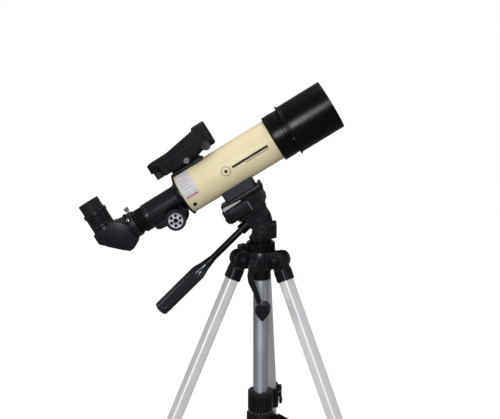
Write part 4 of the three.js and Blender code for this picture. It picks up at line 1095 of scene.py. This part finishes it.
def hub():
    """The sliding hub: a lipped sleeve with shallow flats, a toothed groove and three lugs for the links."""
    pivot = (spot("brace_swing_rear").z - HINGE_Z) / MM
    top = (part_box("brace_hub")[1].z - HINGE_Z) / MM

    def reach(turn, height):
        if height < pivot + 8.9:
            return 22.5 - max(0.0, pivot - 8 - height, height - pivot - 8.2)
        if height < pivot + 15:
            return 18.9
        flat = 1.3 * max(0.0, math.cos(turn * 10)) ** 8 if height < top - 4.2 else 0.0
        edge = max(0.0, height - top + 1.4, pivot + 15.5 - height) * 0.8
        ring = 0.7 if top - 4.3 < height < top - 3.2 else 0.0
        return 20.6 - flat - edge - ring

    heights = [pivot + h for h in (-9, -8.5, -8, 8.2, 8.6, 8.9, 8.95, 14.95, 15, 15.5, 17)]
    heights += [top - h for h in (5, 4.3, 4.25, 3.25, 3.2, 1.4, 0.7, 0)]
    sleeve = solid((loft(reach, heights, 200), CENTRE))
    extra = []
    for side in SIDES:
        out = ((spot(f"leg_spread_{side}") - CENTRE.translation) * Vector((1, 1, 0))).normalized()
        arm = grid(CENTRE.translation, out, WORLD_Z.cross(out), WORLD_Z)
        across = aim(arm, z=(0, 1, 0))
        extra.append((prism([(12, -pivot - 6), (26, -pivot - 6, 5), (30.5, -pivot - 6, 5),
                             (30.5, -pivot + 6, 5), (12, -pivot + 6)], 10.5, 14.5, 1), across))
        extra.append((lathe([(0, 12.5), (2, 12.5), (2, 18.1), (3.4, 18.1), (3.4, 19.2), (2.8, 19.6),
                             (0, 19.6)], 40, 0.2), aim(arm, (26, 0, pivot), z=(0, 1, 0))))
    join(sleeve, *extra)
    cut(sleeve, (rod(12.3, -290, -210, 64), CENTRE))
    piece("hub_sleeve", sleeve, [LEG_PLASTIC], "brace_hub")
    # Light-grey marks in the groove: painted glints on the knurled teeth.
    teeth = []
    for k in range(22):
        turn = 2 * math.pi * k / 22
        out = (math.cos(turn), math.sin(turn), 0)
        flip = 1 if k % 2 else -1
        mark = [(-1.5, -1.0 * flip, 0.1), (1.5, -1.0 * flip, 0.1), (0, 1.3 * flip, 0.1)]
        teeth.append((prism(mark, 18.5, 19.5), aim(CENTRE, (0, 0, pivot + 12.5), z=out, x=(0, 0, 1))))
    piece("hub_glint_teeth", teeth, [GREY_AND_HIGHLIGHT], body="hub")


# ------------------------------------------------------------------ stage
def stage():
    floor_mesh = bpy.data.meshes.new("floor")
    ground = CAD_BOX[0][2]
    turns = [2 * math.pi * k / FLOOR_CORNERS for k in range(FLOOR_CORNERS)]
    points = [(FLOOR_REACH * math.cos(turn), FLOOR_REACH * math.sin(turn), ground) for turn in turns]
    floor_mesh.from_pydata(points, [], [list(range(FLOOR_CORNERS))])
    floor = bpy.data.objects.new("floor", floor_mesh)
    bpy.context.scene.collection.objects.link(floor)
    look = Look("pale_floor")
    grey = look.colours(look.noise(3, 3), (0.22, 0.22, 0.22), (0.24, 0.24, 0.24))
    look.feed("Base Color", grey)
    look.feed("Roughness", look.spread(look.noise(8, 2), 0.9, 1.0))
    look.put(Specular_IOR_Level=0.0, Emission_Color=(1, 1, 1, 1))
    seen = look.node("ShaderNodeLightPath")
    look.feed("Emission Strength", look.times(seen.outputs["Is Camera Ray"], FLOOR_LIFT))
    floor_mesh.materials.append(look.material)

    world = bpy.data.worlds.new("studio")
    bpy.context.scene.world = world
    world.use_nodes = True
    tree = world.node_tree
    background = tree.nodes["Background"]
    background.inputs["Color"].default_value = (1, 1, 1, 1)
    path = tree.nodes.new("ShaderNodeLightPath")
    level = tree.nodes.new("ShaderNodeMapRange")
    level.inputs["To Min"].default_value = AMBIENT
    level.inputs["To Max"].default_value = 1.0
    tree.links.new(path.outputs["Is Camera Ray"], level.inputs["Value"])
    tree.links.new(level.outputs["Result"], background.inputs["Strength"])

    aimed = Vector(LIT_POINT)
    for name, place, size, power in LIGHTS:
        light = bpy.data.lights.new(name, "AREA")
        light.shape = "RECTANGLE"
        light.size, light.size_y = size
        light.energy = power
        lamp = bpy.data.objects.new(name, light)
        bpy.context.scene.collection.objects.link(lamp)
        lamp.location = place
        lamp.rotation_euler = (aimed - Vector(place)).to_track_quat("-Z", "Y").to_euler()


def camera():
    data = bpy.data.cameras.new("camera")
    made = bpy.data.objects.new("camera", data)
    bpy.context.scene.collection.objects.link(made)
    data.sensor_width = CAMERA_SENSOR
    data.lens = CAMERA_LENS
    made.location = CENTRE.translation + CAMERA_PLACE
    made.rotation_euler = (CAMERA_PITCH, 0, 0)
    bpy.context.scene.camera = made


tube()
tube_mark()
objective()
shield()
focuser()
draw()
focus_axle()
holder()
diagonal()
eyepiece()
tube_shoe()
finder()
head()
handle()
tripod()
camera()
stage()
bpy.context.scene.view_settings.view_transform = "Standard"
bpy.context.view_layer.update()
